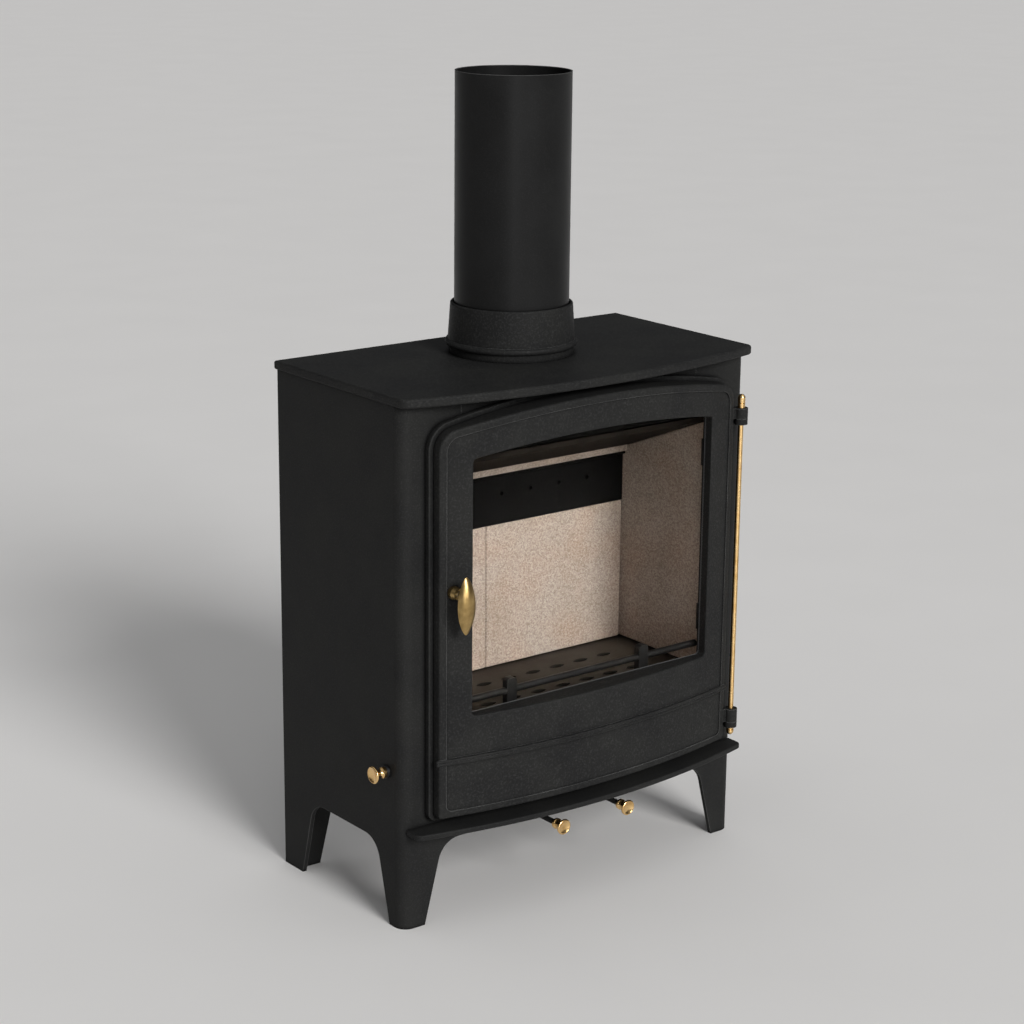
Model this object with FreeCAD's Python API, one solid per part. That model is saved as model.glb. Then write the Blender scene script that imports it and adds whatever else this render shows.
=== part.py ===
import FreeCAD, Part
import math
import os

# A multi-fuel stove: a folded sheet body on four tapered legs, a bowed cast door with an
# arched window, a riddling grate over an ash pan, two air slides and a length of flue pipe.
# Millimetres. X points right, Y back and Z up. The origin is on the floor, midway between
# the side panels and midway between their front and rear edges.

V = FreeCAD.Vector
ALONG_X = V(1, 0, 0)
ALONG_Y = V(0, 1, 0)
ALONG_Z = V(0, 0, 1)
NEAR = 1.0

# Body shell
BODY_WIDTH = 470.0
BODY_DEPTH = 228.0
BODY_HEIGHT = 568.0
SHEET = 5.0
CORNER_RADIUS = 14.0
FRONT_RETURN = 75.0
BACK_RECESS = 21.0

# Legs, cut from the same sheets
SKIRT_HEIGHT = 91.0
LEG_FOOT = 29.5
LEG_SHOULDER = 53.0
LEG_FILLET = 27.0
SIDE_ARCH_LEAD = 6.0

# The bow in plan and the arch in elevation that several pieces share
BOW_RADIUS = 900.0
ARCH_RADIUS = 1000.0

# Top plate
TOP_THICKNESS = 10.0
TOP_SIDE_OVERHANG = 3.0
TOP_FRONT_OVERHANG = 8.0
TOP_REAR_OVERHANG = 1.0
TOP_CORNER_RADIUS = 11.0
TOP_EDGE_ROUND = 2.5

# Ash lip under the door
LIP_RISE = 17.0
LIP_THICKNESS = 6.0
LIP_SIDE_INSET = 6.0
LIP_REACH = 20.5
LIP_CORNER_RADIUS = 8.0
LIP_EDGE_ROUND = 1.5

# Door
DOOR_SIDE_MARGIN = 34.0
DOOR_TOP_MARGIN = 8.0
DOOR_RISE = 34.0
DOOR_EDGE = 10.3
DOOR_GAP = 1.2
DOOR_CORNER_RADIUS = 24.0
DOOR_FOOT_RADIUS = 4.0
DOOR_EDGE_ROUND = 2.5
BORDER_WIDTH = 8.0
FACE_RECESS = 1.2
LOWER_SKIN = 9.0
LOWER_HOLLOW_MARGIN = 20.0
RIB_RISE = 63.0
RIB_BEAD = 2.1
RIB_STAND = 0.5
RIB_MERGE = 0.8
RIB_OVERHANG = 3.5

# Door frame and the mouth of the firebox
FRAME_PROUD = 8.0
FRAME_MARGIN = 5.0
FRAME_EDGE_ROUND = 1.2
MOUTH_INSET = 23.0
MOUTH_SILL = 14.0
MOUTH_CORNER_RADIUS = 10.0

# Window
STILE_WIDTH = 38.0
TOP_RAIL = 36.5
LOWER_PANEL = 109.5
WINDOW_CORNER_RADIUS = 5.0
WINDOW_EDGE_ROUND = 1.6
GLASS_LAP = 5.0
GLASS_PLAY = 1.0
GLASS_THICKNESS = 4.0
GASKET_THICKNESS = 2.0
CLIP_WIDTH = 30.0
CLIP_THICKNESS = 2.3
CLIP_BITE = 3.0
CLIP_END_INSET = 42.0
CLIP_MOUTH_GAP = 1.5
SCREW_RADIUS = 2.0
SCREW_HEAD_RADIUS = 3.5
SCREW_HEAD_HEIGHT = 2.5
SCREW_DEPTH = 7.0

# Rope seal in the back of the door
ROPE_DIAMETER = 7.0
ROPE_INSET = 1.8
ROPE_GAP = 0.3
ROPE_PLAY = 0.2

# Handle and latch
HANDLE_INSET = 16.0
HANDLE_RISE = 247.5
HANDLE_STAND = 22.0
LEAF_LENGTH = 61.5
LEAF_WIDTH = 22.0
LEAF_THICKNESS = 8.0
LEAF_ABOVE_PIVOT = 21.5
LEAF_NECK_RADIUS = 5.5
LEAF_NECK_LENGTH = 8.0
SPINDLE_RADIUS = 3.5
ROSE_RADIUS = 7.0
ROSE_HEIGHT = 9.0
LATCH_TURN = 70.0
LATCH_HUB_RADIUS = 5.0
LATCH_FINGER = 12.5
LATCH_FINGER_HALF = 2.3
LATCH_THICKNESS = 2.5
LATCH_BACK_GAP = 1.0
LATCH_POCKET_DEPTH = 8.0
LATCH_POCKET_ROOM = 2.5
KEEPER_REACH = 11.0
KEEPER_SHANK_RADIUS = 1.8
KEEPER_HEAD_RADIUS = 3.0
KEEPER_HEAD_HEIGHT = 2.0

# Hinge
HINGE_OUT = 11.0
HINGE_AHEAD = 19.0
HINGE_ROD_RADIUS = 3.0
KNUCKLE_RADIUS = 7.5
KNUCKLE_WEB = 7.0
UPPER_KNUCKLE_DROP = 59.0
UPPER_KNUCKLE_HEIGHT = 11.5
LOWER_KNUCKLE_RISE = 20.0
LOWER_KNUCKLE_HEIGHT = 15.0
LUG_HEIGHT = 6.7
LUG_WIDTH = 10.0
FINIAL_RADIUS = 4.2
TOP_FINIAL_HEIGHT = 15.2
BOTTOM_FINIAL_HEIGHT = 10.0
FINIAL_CAP = 6.0
FINIAL_GROOVE = 0.6

# Turned knobs on the air and riddling rods
KNOB_LENGTH = 15.0
KNOB_COLLAR = 2.8
KNOB_COLLAR_RADIUS = 6.0
KNOB_WAIST_RADIUS = 4.2
KNOB_RIM = 3.4
KNOB_DISH = 1.8
AIR_KNOB_RADIUS = 8.8
RIDDLE_KNOB_RADIUS = 9.5

# Fits
RUN_FIT = 0.06
SLIDE_GAP = 0.3

# Base plate, air box and air slides
BASE_THICKNESS = 6.0
AIR_SHEET = 2.0
AIR_FLOOR_RISE = 2.0
AIR_BOX_DEPTH = 146.0
AIR_DIVIDER = 82.0
AIR_TRAVEL = 35.0
AIR_SLIDE_SPREAD = 45.5
AIR_SLIDE_WIDTH = 60.0
AIR_SLIDE_LENGTH = 42.0
AIR_SLIDE_THICKNESS = 3.0
AIR_SLIDE_LAP = 8.0
AIRWASH_SLIDE_INSET = 43.0
PRIMARY_SLIDE_INSET = 92.0
AIR_ROD_DROP = 7.0
AIR_ROD_RADIUS = 3.0
AIR_LIP_DROP = 10.0
AIR_KNOB_REACH = 22.0
GUIDE_LIP = 5.0
PRIMARY_PORT_WIDTH = 120.0
PRIMARY_PORT_DEPTH = 44.0

# Airwash ducts in the front corners and the deflector over the glass
DUCT_DEPTH = 8.0
DUCT_SHEET = 1.5
DUCT_TOP_GAP = 22.0
DEFLECTOR_SHEET = 3.0
DEFLECTOR_DROP = 66.0
DEFLECTOR_SIDE_GAP = 26.0
DEFLECTOR_FOOT = 6.0

# Grate bed, riddling grate and ash pan
ASH_PIT = 49.0
BED_THICKNESS = 12.0
BED_SIDE_GAP = 1.0
BED_TONGUE_REACH = 7.0
BED_TONGUE_SIDE_GAP = 3.0
RAIL_WIDTH = 20.0
RAIL_HEIGHT = 8.0
SLOT_LENGTH = 22.0
SLOT_WIDTH = 10.0
SLOT_PITCH = 35.0
SLOT_ROW_PITCH = 27.0
SLOTS_PER_ROW = 9
SLOT_ROWS = 3
SLOT_FIRST_ROW = 64.0
RIDDLE_THICKNESS = 6.0
RIDDLE_MARGIN = 15.0
RIDDLE_TRAVEL = 25.0
RUNNER_SHEET = 4.0
RUNNER_LAP = 8.0
RIDDLE_ROD_RADIUS = 4.0
RIDDLE_ROD_INSET = 23.0
RIDDLE_ROD_DROP = 9.1
RIDDLE_ARM_WIDTH = 7.0
RIDDLE_ARM_HEIGHT = 10.0
RIDDLE_BUSH_RADIUS = 7.0
RIDDLE_BUSH_STAND = 3.0
PAN_SIDE_INSET = 82.0
PAN_FRONT_GAP = 21.0
PAN_REAR_GAP = 15.0
PAN_HEIGHT = 36.0
PAN_SHEET = 2.0
PAN_GRIP_WIDTH = 90.0
PAN_GRIP_REACH = 12.0
PAN_GRIP_RADIUS = 2.5
PAN_GRIP_DROP = 9.0

# Firebricks, liner and baffle
BRICK = 25.0
BRICK_PANEL_GAP = 3.0
BRICK_JOINT = 0.6
BRICK_CHAMFER = 1.2
REAR_BRICK_HEIGHT = 168.0
REAR_BRICK_SIDE_GAP = 2.0
BRICK_FRONT_GAP = 9.0
LINER_SHEET = 3.0
LINER_AIR_GAP = 8.0
CHANNEL_HOLES = 8
CHANNEL_HOLE_RADIUS = 2.5
CHANNEL_HOLE_PITCH = 41.7
CHANNEL_HOLE_SHARE = 0.64
BAFFLE_SLOPE = 22.0
BAFFLE_RISE = 223.6
BAFFLE_THICKNESS = 6.0
BAFFLE_FRONT_GAP = 22.0
BAFFLE_REAR_GAP = 2.0
REST_DEPTH = 31.0
REST_THICKNESS = 7.0

# Log guard
GUARD_BAR_RADIUS = 4.0
GUARD_BAR_RISE = 41.0
GUARD_POST_RISE = 55.0
GUARD_POST_WIDTH = 13.0
GUARD_POST_DEPTH = 8.0
GUARD_POST_SPREAD = 92.5
GUARD_SIDE_GAP = 6.0
GUARD_SET_BACK = 4.0

# Flue collar, pipe and the blanked rear outlet
FLUE_Y = 10.0
PIPE_RADIUS = 62.5
PIPE_WALL = 2.0
PIPE_LENGTH = 288.0
SOCKET_PLAY = 0.3
SOCKET_FLOOR = 14.0
COLLAR_HEIGHT = 55.0
COLLAR_WALL = 4.0
COLLAR_FLARE = 2.5
COLLAR_FLANGE = 3.0
COLLAR_FLANGE_HEIGHT = 15.0
COLLAR_BEAD = 7.0
COLLAR_FOOT_INSET = 1.0
COLLAR_STEP = 3.5
COLLAR_REGISTER = 6.0
COLLAR_SCREW_RADIUS = 3.0
COLLAR_SCREW_DEPTH = 8.0
COLLAR_SCREW_HEAD = 5.0
COLLAR_SCREW_HEAD_HEIGHT = 4.0
COLLAR_SCREWS = 3
OUTLET_DROP = 86.0
OUTLET_RADIUS = 60.0
BLANK_LAP = 15.0
BLANK_THICKNESS = 6.0
BLANK_BOLT_RADIUS = 4.0
BLANK_BOLT_HEAD = 6.5
BLANK_BOLT_HEAD_HEIGHT = 5.5

# Places worked out from the sizes above
HALF_WIDTH = BODY_WIDTH / 2
INNER_HALF = HALF_WIDTH - SHEET
FRONT = -BODY_DEPTH / 2
REAR = BODY_DEPTH / 2
FRONT_INSIDE = FRONT + SHEET
BACK_INSIDE = REAR - BACK_RECESS - SHEET
INNER_CORNER = CORNER_RADIUS - SHEET
CORNER_CLEAR = INNER_HALF - INNER_CORNER - SLIDE_GAP
RETURN_EDGE = HALF_WIDTH - FRONT_RETURN

FRAME_FACE = FRONT - FRAME_PROUD
DOOR_BACK = FRAME_FACE - DOOR_GAP
DOOR_HALF = HALF_WIDTH - DOOR_SIDE_MARGIN
DOOR_BOTTOM = SKIRT_HEIGHT + DOOR_RISE
DOOR_APEX = BODY_HEIGHT - DOOR_TOP_MARGIN
DOOR_BOW = BOW_RADIUS - math.sqrt(BOW_RADIUS ** 2 - DOOR_HALF ** 2)
DOOR_CROWN = DOOR_BACK - DOOR_EDGE - DOOR_BOW
BOW_CENTRE = V(0, DOOR_CROWN + BOW_RADIUS, 0)

MOUTH_HALF = DOOR_HALF - MOUTH_INSET
MOUTH_BOTTOM = DOOR_BOTTOM + MOUTH_SILL
MOUTH_APEX = DOOR_APEX - MOUTH_INSET

WINDOW_HALF = DOOR_HALF - STILE_WIDTH
WINDOW_BOTTOM = DOOR_BOTTOM + LOWER_PANEL
WINDOW_APEX = DOOR_APEX - TOP_RAIL
GLASS_SEAT = DOOR_BACK - GLASS_THICKNESS - GASKET_THICKNESS
CLIP_EDGE = MOUTH_HALF - CLIP_MOUTH_GAP
CLIP_SCREW_X = (WINDOW_HALF + GLASS_LAP + GLASS_PLAY + CLIP_EDGE) / 2
CLIP_LEVELS = (WINDOW_BOTTOM + CLIP_END_INSET, WINDOW_APEX - CLIP_END_INSET - CLIP_WIDTH / 2)

ROPE_RADIUS = ROPE_DIAMETER / 2
ROPE_LINE = ROPE_INSET + ROPE_PLAY + ROPE_RADIUS
ROPE_CENTRE_Y = FRAME_FACE - ROPE_GAP - ROPE_RADIUS

HANDLE_X = -DOOR_HALF + HANDLE_INSET
HANDLE_Z = DOOR_BOTTOM + HANDLE_RISE
HANDLE_FACE = BOW_CENTRE.y - math.sqrt((BOW_RADIUS - FACE_RECESS) ** 2 - HANDLE_X ** 2)
LEAF_BACK = HANDLE_FACE - HANDLE_STAND
LATCH_BACK = DOOR_BACK - LATCH_BACK_GAP
LATCH_FRONT = LATCH_BACK - LATCH_THICKNESS
KEEPER_OFFSET = math.degrees(math.asin((LATCH_FINGER_HALF + KEEPER_SHANK_RADIUS + SLIDE_GAP) / KEEPER_REACH))
KEEPER_ANGLE = math.radians(LATCH_TURN + KEEPER_OFFSET)
KEEPER_X = HANDLE_X + KEEPER_REACH * math.cos(KEEPER_ANGLE)
KEEPER_Z = HANDLE_Z - KEEPER_REACH * math.sin(KEEPER_ANGLE)

HINGE_X = DOOR_HALF + HINGE_OUT
HINGE_Y = FRONT - HINGE_AHEAD
UPPER_KNUCKLE = DOOR_APEX - UPPER_KNUCKLE_DROP
LOWER_KNUCKLE = DOOR_BOTTOM + LOWER_KNUCKLE_RISE
TOP_FINIAL = UPPER_KNUCKLE + UPPER_KNUCKLE_HEIGHT + SLIDE_GAP
BOTTOM_FINIAL = LOWER_KNUCKLE - SLIDE_GAP - LUG_HEIGHT

BASE_TOP = MOUTH_BOTTOM
BASE_UNDER = BASE_TOP - BASE_THICKNESS
AIR_FLOOR = SKIRT_HEIGHT + AIR_FLOOR_RISE
AIR_SLIDE_TOP = AIR_FLOOR - SLIDE_GAP
AIR_SLIDE_UNDER = AIR_SLIDE_TOP - AIR_SLIDE_THICKNESS
AIR_ROD_Z = SKIRT_HEIGHT - AIR_ROD_DROP
AIR_KNOB_Y = FRONT - AIR_KNOB_REACH

BED_UNDER = BASE_TOP + ASH_PIT
BED_TOP = BED_UNDER + BED_THICKNESS
LINER_FRONT = BACK_INSIDE - LINER_AIR_GAP - LINER_SHEET
BRICK_OUTER = INNER_HALF - BRICK_PANEL_GAP
BRICK_INNER = BRICK_OUTER - BRICK
BRICK_FRONT = FRONT_INSIDE + BRICK_FRONT_GAP
BED_TONGUE_FRONT = FRONT_INSIDE - BED_TONGUE_REACH
SLOT_ROW_Y = [FRONT_INSIDE + SLOT_FIRST_ROW + row * SLOT_ROW_PITCH for row in range(SLOT_ROWS)]
SLOT_X = [(slot - (SLOTS_PER_ROW - 1) / 2) * SLOT_PITCH for slot in range(SLOTS_PER_ROW)]
RIDDLE_TOP = BED_UNDER - SLIDE_GAP
RIDDLE_UNDER = RIDDLE_TOP - RIDDLE_THICKNESS
RIDDLE_FRONT = SLOT_ROW_Y[0] - RIDDLE_MARGIN
RIDDLE_REAR = SLOT_ROW_Y[-1] + RIDDLE_MARGIN
RIDDLE_RIGHT = SLOT_X[-1] + RIDDLE_MARGIN
RUNNER_TOP = RIDDLE_UNDER - SLIDE_GAP
RUNNER_UNDER = RUNNER_TOP - RUNNER_SHEET
PAN_HALF = INNER_HALF - PAN_SIDE_INSET
RIDDLE_ARM_X = -PAN_HALF - RIDDLE_MARGIN
RIDDLE_LEFT = RIDDLE_ARM_X - RIDDLE_ARM_WIDTH
RIDDLE_ROD_Y = FRONT_INSIDE + RIDDLE_ROD_INSET
RIDDLE_ROD_Z = RIDDLE_UNDER - RIDDLE_ROD_DROP
RIDDLE_ROD_END = -HALF_WIDTH - RIDDLE_BUSH_STAND - SLIDE_GAP
PAN_FLOOR = BASE_TOP + SLIDE_GAP
PAN_FRONT = FRONT_INSIDE + PAN_FRONT_GAP

FLUE_AXIS = V(0, FLUE_Y, 0)
SOCKET_RADIUS = PIPE_RADIUS + SOCKET_PLAY
TOP_FACE = BODY_HEIGHT + TOP_THICKNESS
COLLAR_BASE_RADIUS = SOCKET_RADIUS + COLLAR_WALL + COLLAR_FLARE
COLLAR_FOOT_RADIUS = COLLAR_BASE_RADIUS - COLLAR_FOOT_INSET
FLUE_BORE = SOCKET_RADIUS - COLLAR_STEP
OUTLET_CENTRE = V(0, BACK_INSIDE, BODY_HEIGHT - OUTLET_DROP)
BLANK_RADIUS = OUTLET_RADIUS + BLANK_LAP
BLANK_FACE = BACK_INSIDE + SHEET


def box(x_range, y_range, z_range):
    """Box between two values on each axis."""
    low = V(min(x_range), min(y_range), min(z_range))
    high = V(max(x_range), max(y_range), max(z_range))
    size = high - low
    return Part.makeBox(size.x, size.y, size.z, low)


def rod(radius, start, end):
    """Round bar between two points."""
    along = end - start
    return Part.makeCylinder(radius, along.Length, start, along)


def ring(outer, inner, start, end):
    """Tube between two points."""
    return rod(outer, start, end).cut(rod(inner, start, end))


def prism(points, sweep):
    """Flat polygon swept along a vector."""
    return Part.Face(Part.makePolygon(points + points[:1])).extrude(sweep)


def join(shapes):
    """One solid from shapes that touch or overlap."""
    first = shapes[0]
    return first.multiFuse(shapes[1:]).removeSplitter()


def mirrored(shape):
    """The same shape on the other side of the stove's middle plane."""
    return shape.mirror(V(0, 0, 0), ALONG_X)


def edges_along(shape, axis, near=lambda middle: True):
    """Straight edges parallel to an axis whose middle point passes a test."""
    found = []
    for edge in shape.Edges:
        if isinstance(edge.Curve, Part.Line):
            parallel = abs(edge.tangentAt(edge.FirstParameter).dot(axis)) > 0.999
            if parallel and near(edge.CenterOfMass):
                found.append(edge)
    return found


def upright_edges_at(shape, x, y):
    """Upright straight edges at a place in plan."""
    return edges_along(shape, ALONG_Z, lambda m: abs(m.x - x) < NEAR and abs(m.y - y) < NEAR)


def rounded(shape, radius, edges):
    """Shape with the given edges rounded."""
    return shape.makeFillet(radius, edges)


def turned(start, steps, origin, axis):
    """Solid turned about an axis. Each step is a line to (radius, height), or an arc given
    as its middle and its end."""
    here = V(start[0], 0, start[1])
    edges = []
    for step in list(steps) + [start]:
        if isinstance(step[0], tuple):
            middle = V(step[0][0], 0, step[0][1])
            end = V(step[1][0], 0, step[1][1])
            edges.append(Part.Arc(here, middle, end).toShape())
        else:
            end = V(step[0], 0, step[1])
            edges.append(Part.LineSegment(here, end).toShape())
        here = end
    solid = Part.Face(Part.Wire(edges)).revolve(V(0, 0, 0), ALONG_Z, 360)
    solid.Placement = FreeCAD.Placement(origin, FreeCAD.Rotation(ALONG_Z, axis))
    return solid


def hexagon(across, start, end):
    """Hexagonal bar between two points, by its half width across flats."""
    along = end - start
    corner = across / math.cos(math.pi / 6)
    turn = FreeCAD.Rotation(ALONG_Z, along)
    angles = [math.radians(60 * k) for k in range(6)]
    points = [start + turn.multVec(V(corner * math.cos(a), corner * math.sin(a), 0)) for a in angles]
    return prism(points, along)


def bow_depth(half):
    """How far the shared bow stands forward at mid width."""
    return BOW_RADIUS - math.sqrt(BOW_RADIUS ** 2 - half ** 2)


def bow_plate(half, corner_y, back_y, z_range, corner_radius):
    """Flat plate whose front edge follows the shared bow."""
    low, high = z_range
    corners = [V(half, corner_y, low), V(half, back_y, low), V(-half, back_y, low), V(-half, corner_y, low)]
    sides = [Part.LineSegment(a, b).toShape() for a, b in zip(corners, corners[1:])]
    crown = V(0, corner_y - bow_depth(half), low)
    sides.append(Part.Arc(corners[3], crown, corners[0]).toShape())
    plate = Part.Face(Part.Wire(sides)).extrude(V(0, 0, high - low))
    return rounded(plate, corner_radius, edges_along(plate, ALONG_Z, lambda m: m.y < corner_y + NEAR))


def arched(half, bottom, apex, y_range, corner_radius, foot_radius):
    """Panel with an arched top, upright in the XZ plane."""
    front, back = y_range
    shoulder = apex - ARCH_RADIUS + math.sqrt(ARCH_RADIUS ** 2 - half ** 2)
    corners = [V(half, front, shoulder), V(half, front, bottom)]
    corners += [V(-half, front, bottom), V(-half, front, shoulder)]
    sides = [Part.LineSegment(a, b).toShape() for a, b in zip(corners, corners[1:])]
    sides.append(Part.Arc(corners[3], V(0, front, apex), corners[0]).toShape())
    panel = Part.Face(Part.Wire(sides)).extrude(V(0, back - front, 0))
    middle = (bottom + shoulder) / 2
    panel = rounded(panel, corner_radius, edges_along(panel, ALONG_Y, lambda m: m.z > middle))
    return rounded(panel, foot_radius, edges_along(panel, ALONG_Y, lambda m: m.z < middle))


def bow_cylinder(depth):
    """Upright cylinder concentric with the door's bowed face, a depth behind its crown."""
    height = DOOR_APEX + DOOR_CORNER_RADIUS
    return Part.makeCylinder(BOW_RADIUS - depth, height, BOW_CENTRE)


def leg_arch(half, along):
    """Opening between two legs under a panel: tapered sides and rounded shoulders."""
    foot = half - LEG_FOOT
    top = half - LEG_SHOULDER
    outline = [(-foot, 0), (-top, SKIRT_HEIGHT), (top, SKIRT_HEIGHT), (foot, 0)]
    across = ALONG_Y if along == ALONG_X else ALONG_X
    reach = 2 * max(HALF_WIDTH, BODY_DEPTH)
    points = [along * u + across * -reach + V(0, 0, z) for u, z in outline]
    opening = prism(points, across * (2 * reach))
    return rounded(opening, LEG_FILLET, edges_along(opening, across, lambda m: m.z > SKIRT_HEIGHT / 2))


def mouth(y_range):
    """The firebox mouth as a solid to cut with."""
    return arched(MOUTH_HALF, MOUTH_BOTTOM, MOUTH_APEX, y_range, MOUTH_CORNER_RADIUS, MOUTH_CORNER_RADIUS)


def side_panel():
    """Left side and front corner, folded from one sheet and cut to a front and a rear leg."""
    side = box((-HALF_WIDTH, -INNER_HALF), (FRONT, REAR), (0, BODY_HEIGHT))
    front = box((-HALF_WIDTH, -RETURN_EDGE), (FRONT, FRONT_INSIDE), (0, BODY_HEIGHT))
    panel = join([side, front])
    panel = rounded(panel, CORNER_RADIUS, upright_edges_at(panel, -HALF_WIDTH, FRONT))
    panel = rounded(panel, INNER_CORNER, upright_edges_at(panel, -INNER_HALF, FRONT_INSIDE))
    side_opening = leg_arch(REAR, ALONG_Y).translated(ALONG_Y * -SIDE_ARCH_LEAD)
    side_opening = side_opening.common(box((-BODY_WIDTH, 0), (FRONT, REAR), (0, BODY_HEIGHT)))
    panel = panel.cut(side_opening.cut(box((-INNER_HALF, 0), (FRONT, REAR), (0, BODY_HEIGHT))))
    panel = panel.cut(leg_arch(HALF_WIDTH, ALONG_X))
    return panel.cut(mouth((FRONT, FRONT_INSIDE)))


def left_side_panel():
    """Side panel with the hole for the riddling rod's bush."""
    inside = V(-INNER_HALF, RIDDLE_ROD_Y, RIDDLE_ROD_Z)
    return side_panel().cut(rod(RIDDLE_BUSH_RADIUS, inside - ALONG_X * SHEET, inside))


def front_strip(z_range):
    """Strip welded between the front returns, trimmed by the mouth and by the leg opening."""
    strip = box((-RETURN_EDGE, RETURN_EDGE), (FRONT, FRONT_INSIDE), z_range)
    return strip.cut(mouth((FRONT, FRONT_INSIDE))).cut(leg_arch(HALF_WIDTH, ALONG_X))


def back_panel():
    """Back sheet between the sides, with leg flanges and the rear flue outlet."""
    panel = box((-INNER_HALF, INNER_HALF), (BACK_INSIDE, BACK_INSIDE + SHEET), (0, BODY_HEIGHT))
    panel = panel.cut(leg_arch(HALF_WIDTH, ALONG_X))
    through = ALONG_Y * SHEET
    panel = panel.cut(rod(OUTLET_RADIUS, OUTLET_CENTRE, OUTLET_CENTRE + through))
    bolt_places = [OUTLET_CENTRE + ALONG_X * x for x in blank_bolt_x()]
    return panel.cut(Part.makeCompound([rod(BLANK_BOLT_RADIUS, p, p + through) for p in bolt_places]))


def inner_floor(z_range, back_y, side_gap):
    """Flat plate that fills the inside of the shell from the front to a given depth."""
    half = INNER_HALF - side_gap
    plate = box((-half, half), (FRONT_INSIDE, back_y), z_range)
    corners = edges_along(plate, ALONG_Z, lambda m: m.y < FRONT_INSIDE + NEAR)
    return rounded(plate, INNER_CORNER + 2 * SLIDE_GAP, corners)


def base_plate():
    """Firebox floor with the primary air port and the two airwash ports under the ducts."""
    plate = inner_floor((BASE_UNDER, BASE_TOP), BACK_INSIDE, 0)
    port_y = FRONT_INSIDE + PRIMARY_SLIDE_INSET
    primary = box((-PRIMARY_PORT_WIDTH / 2, PRIMARY_PORT_WIDTH / 2),
                  (port_y, port_y + PRIMARY_PORT_DEPTH), (BASE_UNDER, BASE_TOP))
    airwash = duct_channel((BASE_UNDER, BASE_TOP))
    return plate.cut(Part.makeCompound([primary, airwash, mirrored(airwash)]))


def top_plate():
    """Bowed top plate with rounded edges and the flue hole."""
    plate = bow_plate(HALF_WIDTH + TOP_SIDE_OVERHANG, FRONT - TOP_FRONT_OVERHANG, REAR + TOP_REAR_OVERHANG,
                      (BODY_HEIGHT, TOP_FACE), TOP_CORNER_RADIUS)
    plate = rounded(plate, TOP_EDGE_ROUND, [e for e in plate.Edges if e.BoundBox.ZLength < 1e-6])
    plate = plate.cut(rod(FLUE_BORE, FLUE_AXIS, FLUE_AXIS + V(0, 0, 2 * BODY_HEIGHT)))
    return plate.cut(Part.makeCompound(collar_screw_shanks(COLLAR_SCREW_RADIUS)))


def ash_lip():
    """Bowed shelf fixed across the front below the door."""
    low = SKIRT_HEIGHT + LIP_RISE
    lip = bow_plate(HALF_WIDTH - LIP_SIDE_INSET, FRONT - LIP_REACH, FRONT, (low, low + LIP_THICKNESS),
                    LIP_CORNER_RADIUS)
    outer = [e for e in lip.Edges if e.BoundBox.ZLength < 1e-6 and e.CenterOfMass.y < FRONT - LIP_EDGE_ROUND]
    return rounded(lip, LIP_EDGE_ROUND, outer)


def door_frame():
    """Flat cast frame round the mouth, proud of the body, that the door shuts against."""
    frame = arched(DOOR_HALF + FRAME_MARGIN, DOOR_BOTTOM - FRAME_MARGIN, DOOR_APEX + FRAME_MARGIN,
                   (FRAME_FACE, FRONT), DOOR_CORNER_RADIUS + FRAME_MARGIN, DOOR_FOOT_RADIUS + FRAME_MARGIN)
    face = [e for e in frame.Edges if e.BoundBox.YMax < FRAME_FACE + SLIDE_GAP]
    frame = rounded(frame, FRAME_EDGE_ROUND, face)
    frame = frame.cut(mouth((FRAME_FACE, FRONT)))
    stud = V(KEEPER_X, FRAME_FACE, KEEPER_Z)
    return frame.cut(rod(KEEPER_SHANK_RADIUS, stud, stud + ALONG_Y * FRAME_PROUD))


def rib(level):
    """Round bead that follows the bowed face right across the door, with rounded ends."""
    radius = BOW_RADIUS - FACE_RECESS + RIB_STAND
    turn = math.degrees(math.asin((DOOR_HALF + RIB_OVERHANG - RIB_BEAD) / radius))
    crown = V(0, BOW_CENTRE.y - radius, level)
    section = Part.Face(Part.Wire(Part.makeCircle(RIB_BEAD, crown, ALONG_X)))
    section.rotate(BOW_CENTRE, ALONG_Z, -turn)
    bead = section.revolve(BOW_CENTRE, ALONG_Z, 2 * turn)
    ends = []
    for side in (-turn, turn):
        ball = Part.makeSphere(RIB_BEAD, crown)
        ball.rotate(BOW_CENTRE, ALONG_Z, side)
        ends.append(ball)
    return join([bead] + ends)


def rope_groove():
    """Channel for the rope seal in the back of the door."""
    width = ROPE_DIAMETER + 2 * ROPE_PLAY
    floor = ROPE_CENTRE_Y - ROPE_RADIUS - ROPE_PLAY
    outer = door_outline(ROPE_INSET, (floor, DOOR_BACK))
    return outer.cut(door_outline(ROPE_INSET + width, (floor, DOOR_BACK)))


def door_outline(inset, y_range):
    """The door's arched outline, drawn in by a distance."""
    foot = max(DOOR_FOOT_RADIUS, ROPE_DIAMETER)
    return arched(DOOR_HALF - inset, DOOR_BOTTOM + inset, DOOR_APEX - inset, y_range,
                  DOOR_CORNER_RADIUS - inset, foot if inset else DOOR_FOOT_RADIUS)


def window_outline(grow, y_range):
    """The window's arched outline, grown by a distance."""
    radius = WINDOW_CORNER_RADIUS + grow
    return arched(WINDOW_HALF + grow, WINDOW_BOTTOM - grow, WINDOW_APEX + grow, y_range, radius, radius)


def knuckles():
    """The door's two hinge eyes with their webs, at their levels."""
    eyes = []
    for low, height in ((UPPER_KNUCKLE, UPPER_KNUCKLE_HEIGHT), (LOWER_KNUCKLE, LOWER_KNUCKLE_HEIGHT)):
        levels = (low, low + height)
        eyes.append(rod(KNUCKLE_RADIUS, V(HINGE_X, HINGE_Y, low), V(HINGE_X, HINGE_Y, low + height)))
        eyes.append(box((DOOR_HALF - DOOR_EDGE_ROUND, HINGE_X), (HINGE_Y, HINGE_Y + KNUCKLE_WEB), levels))
    return eyes


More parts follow.
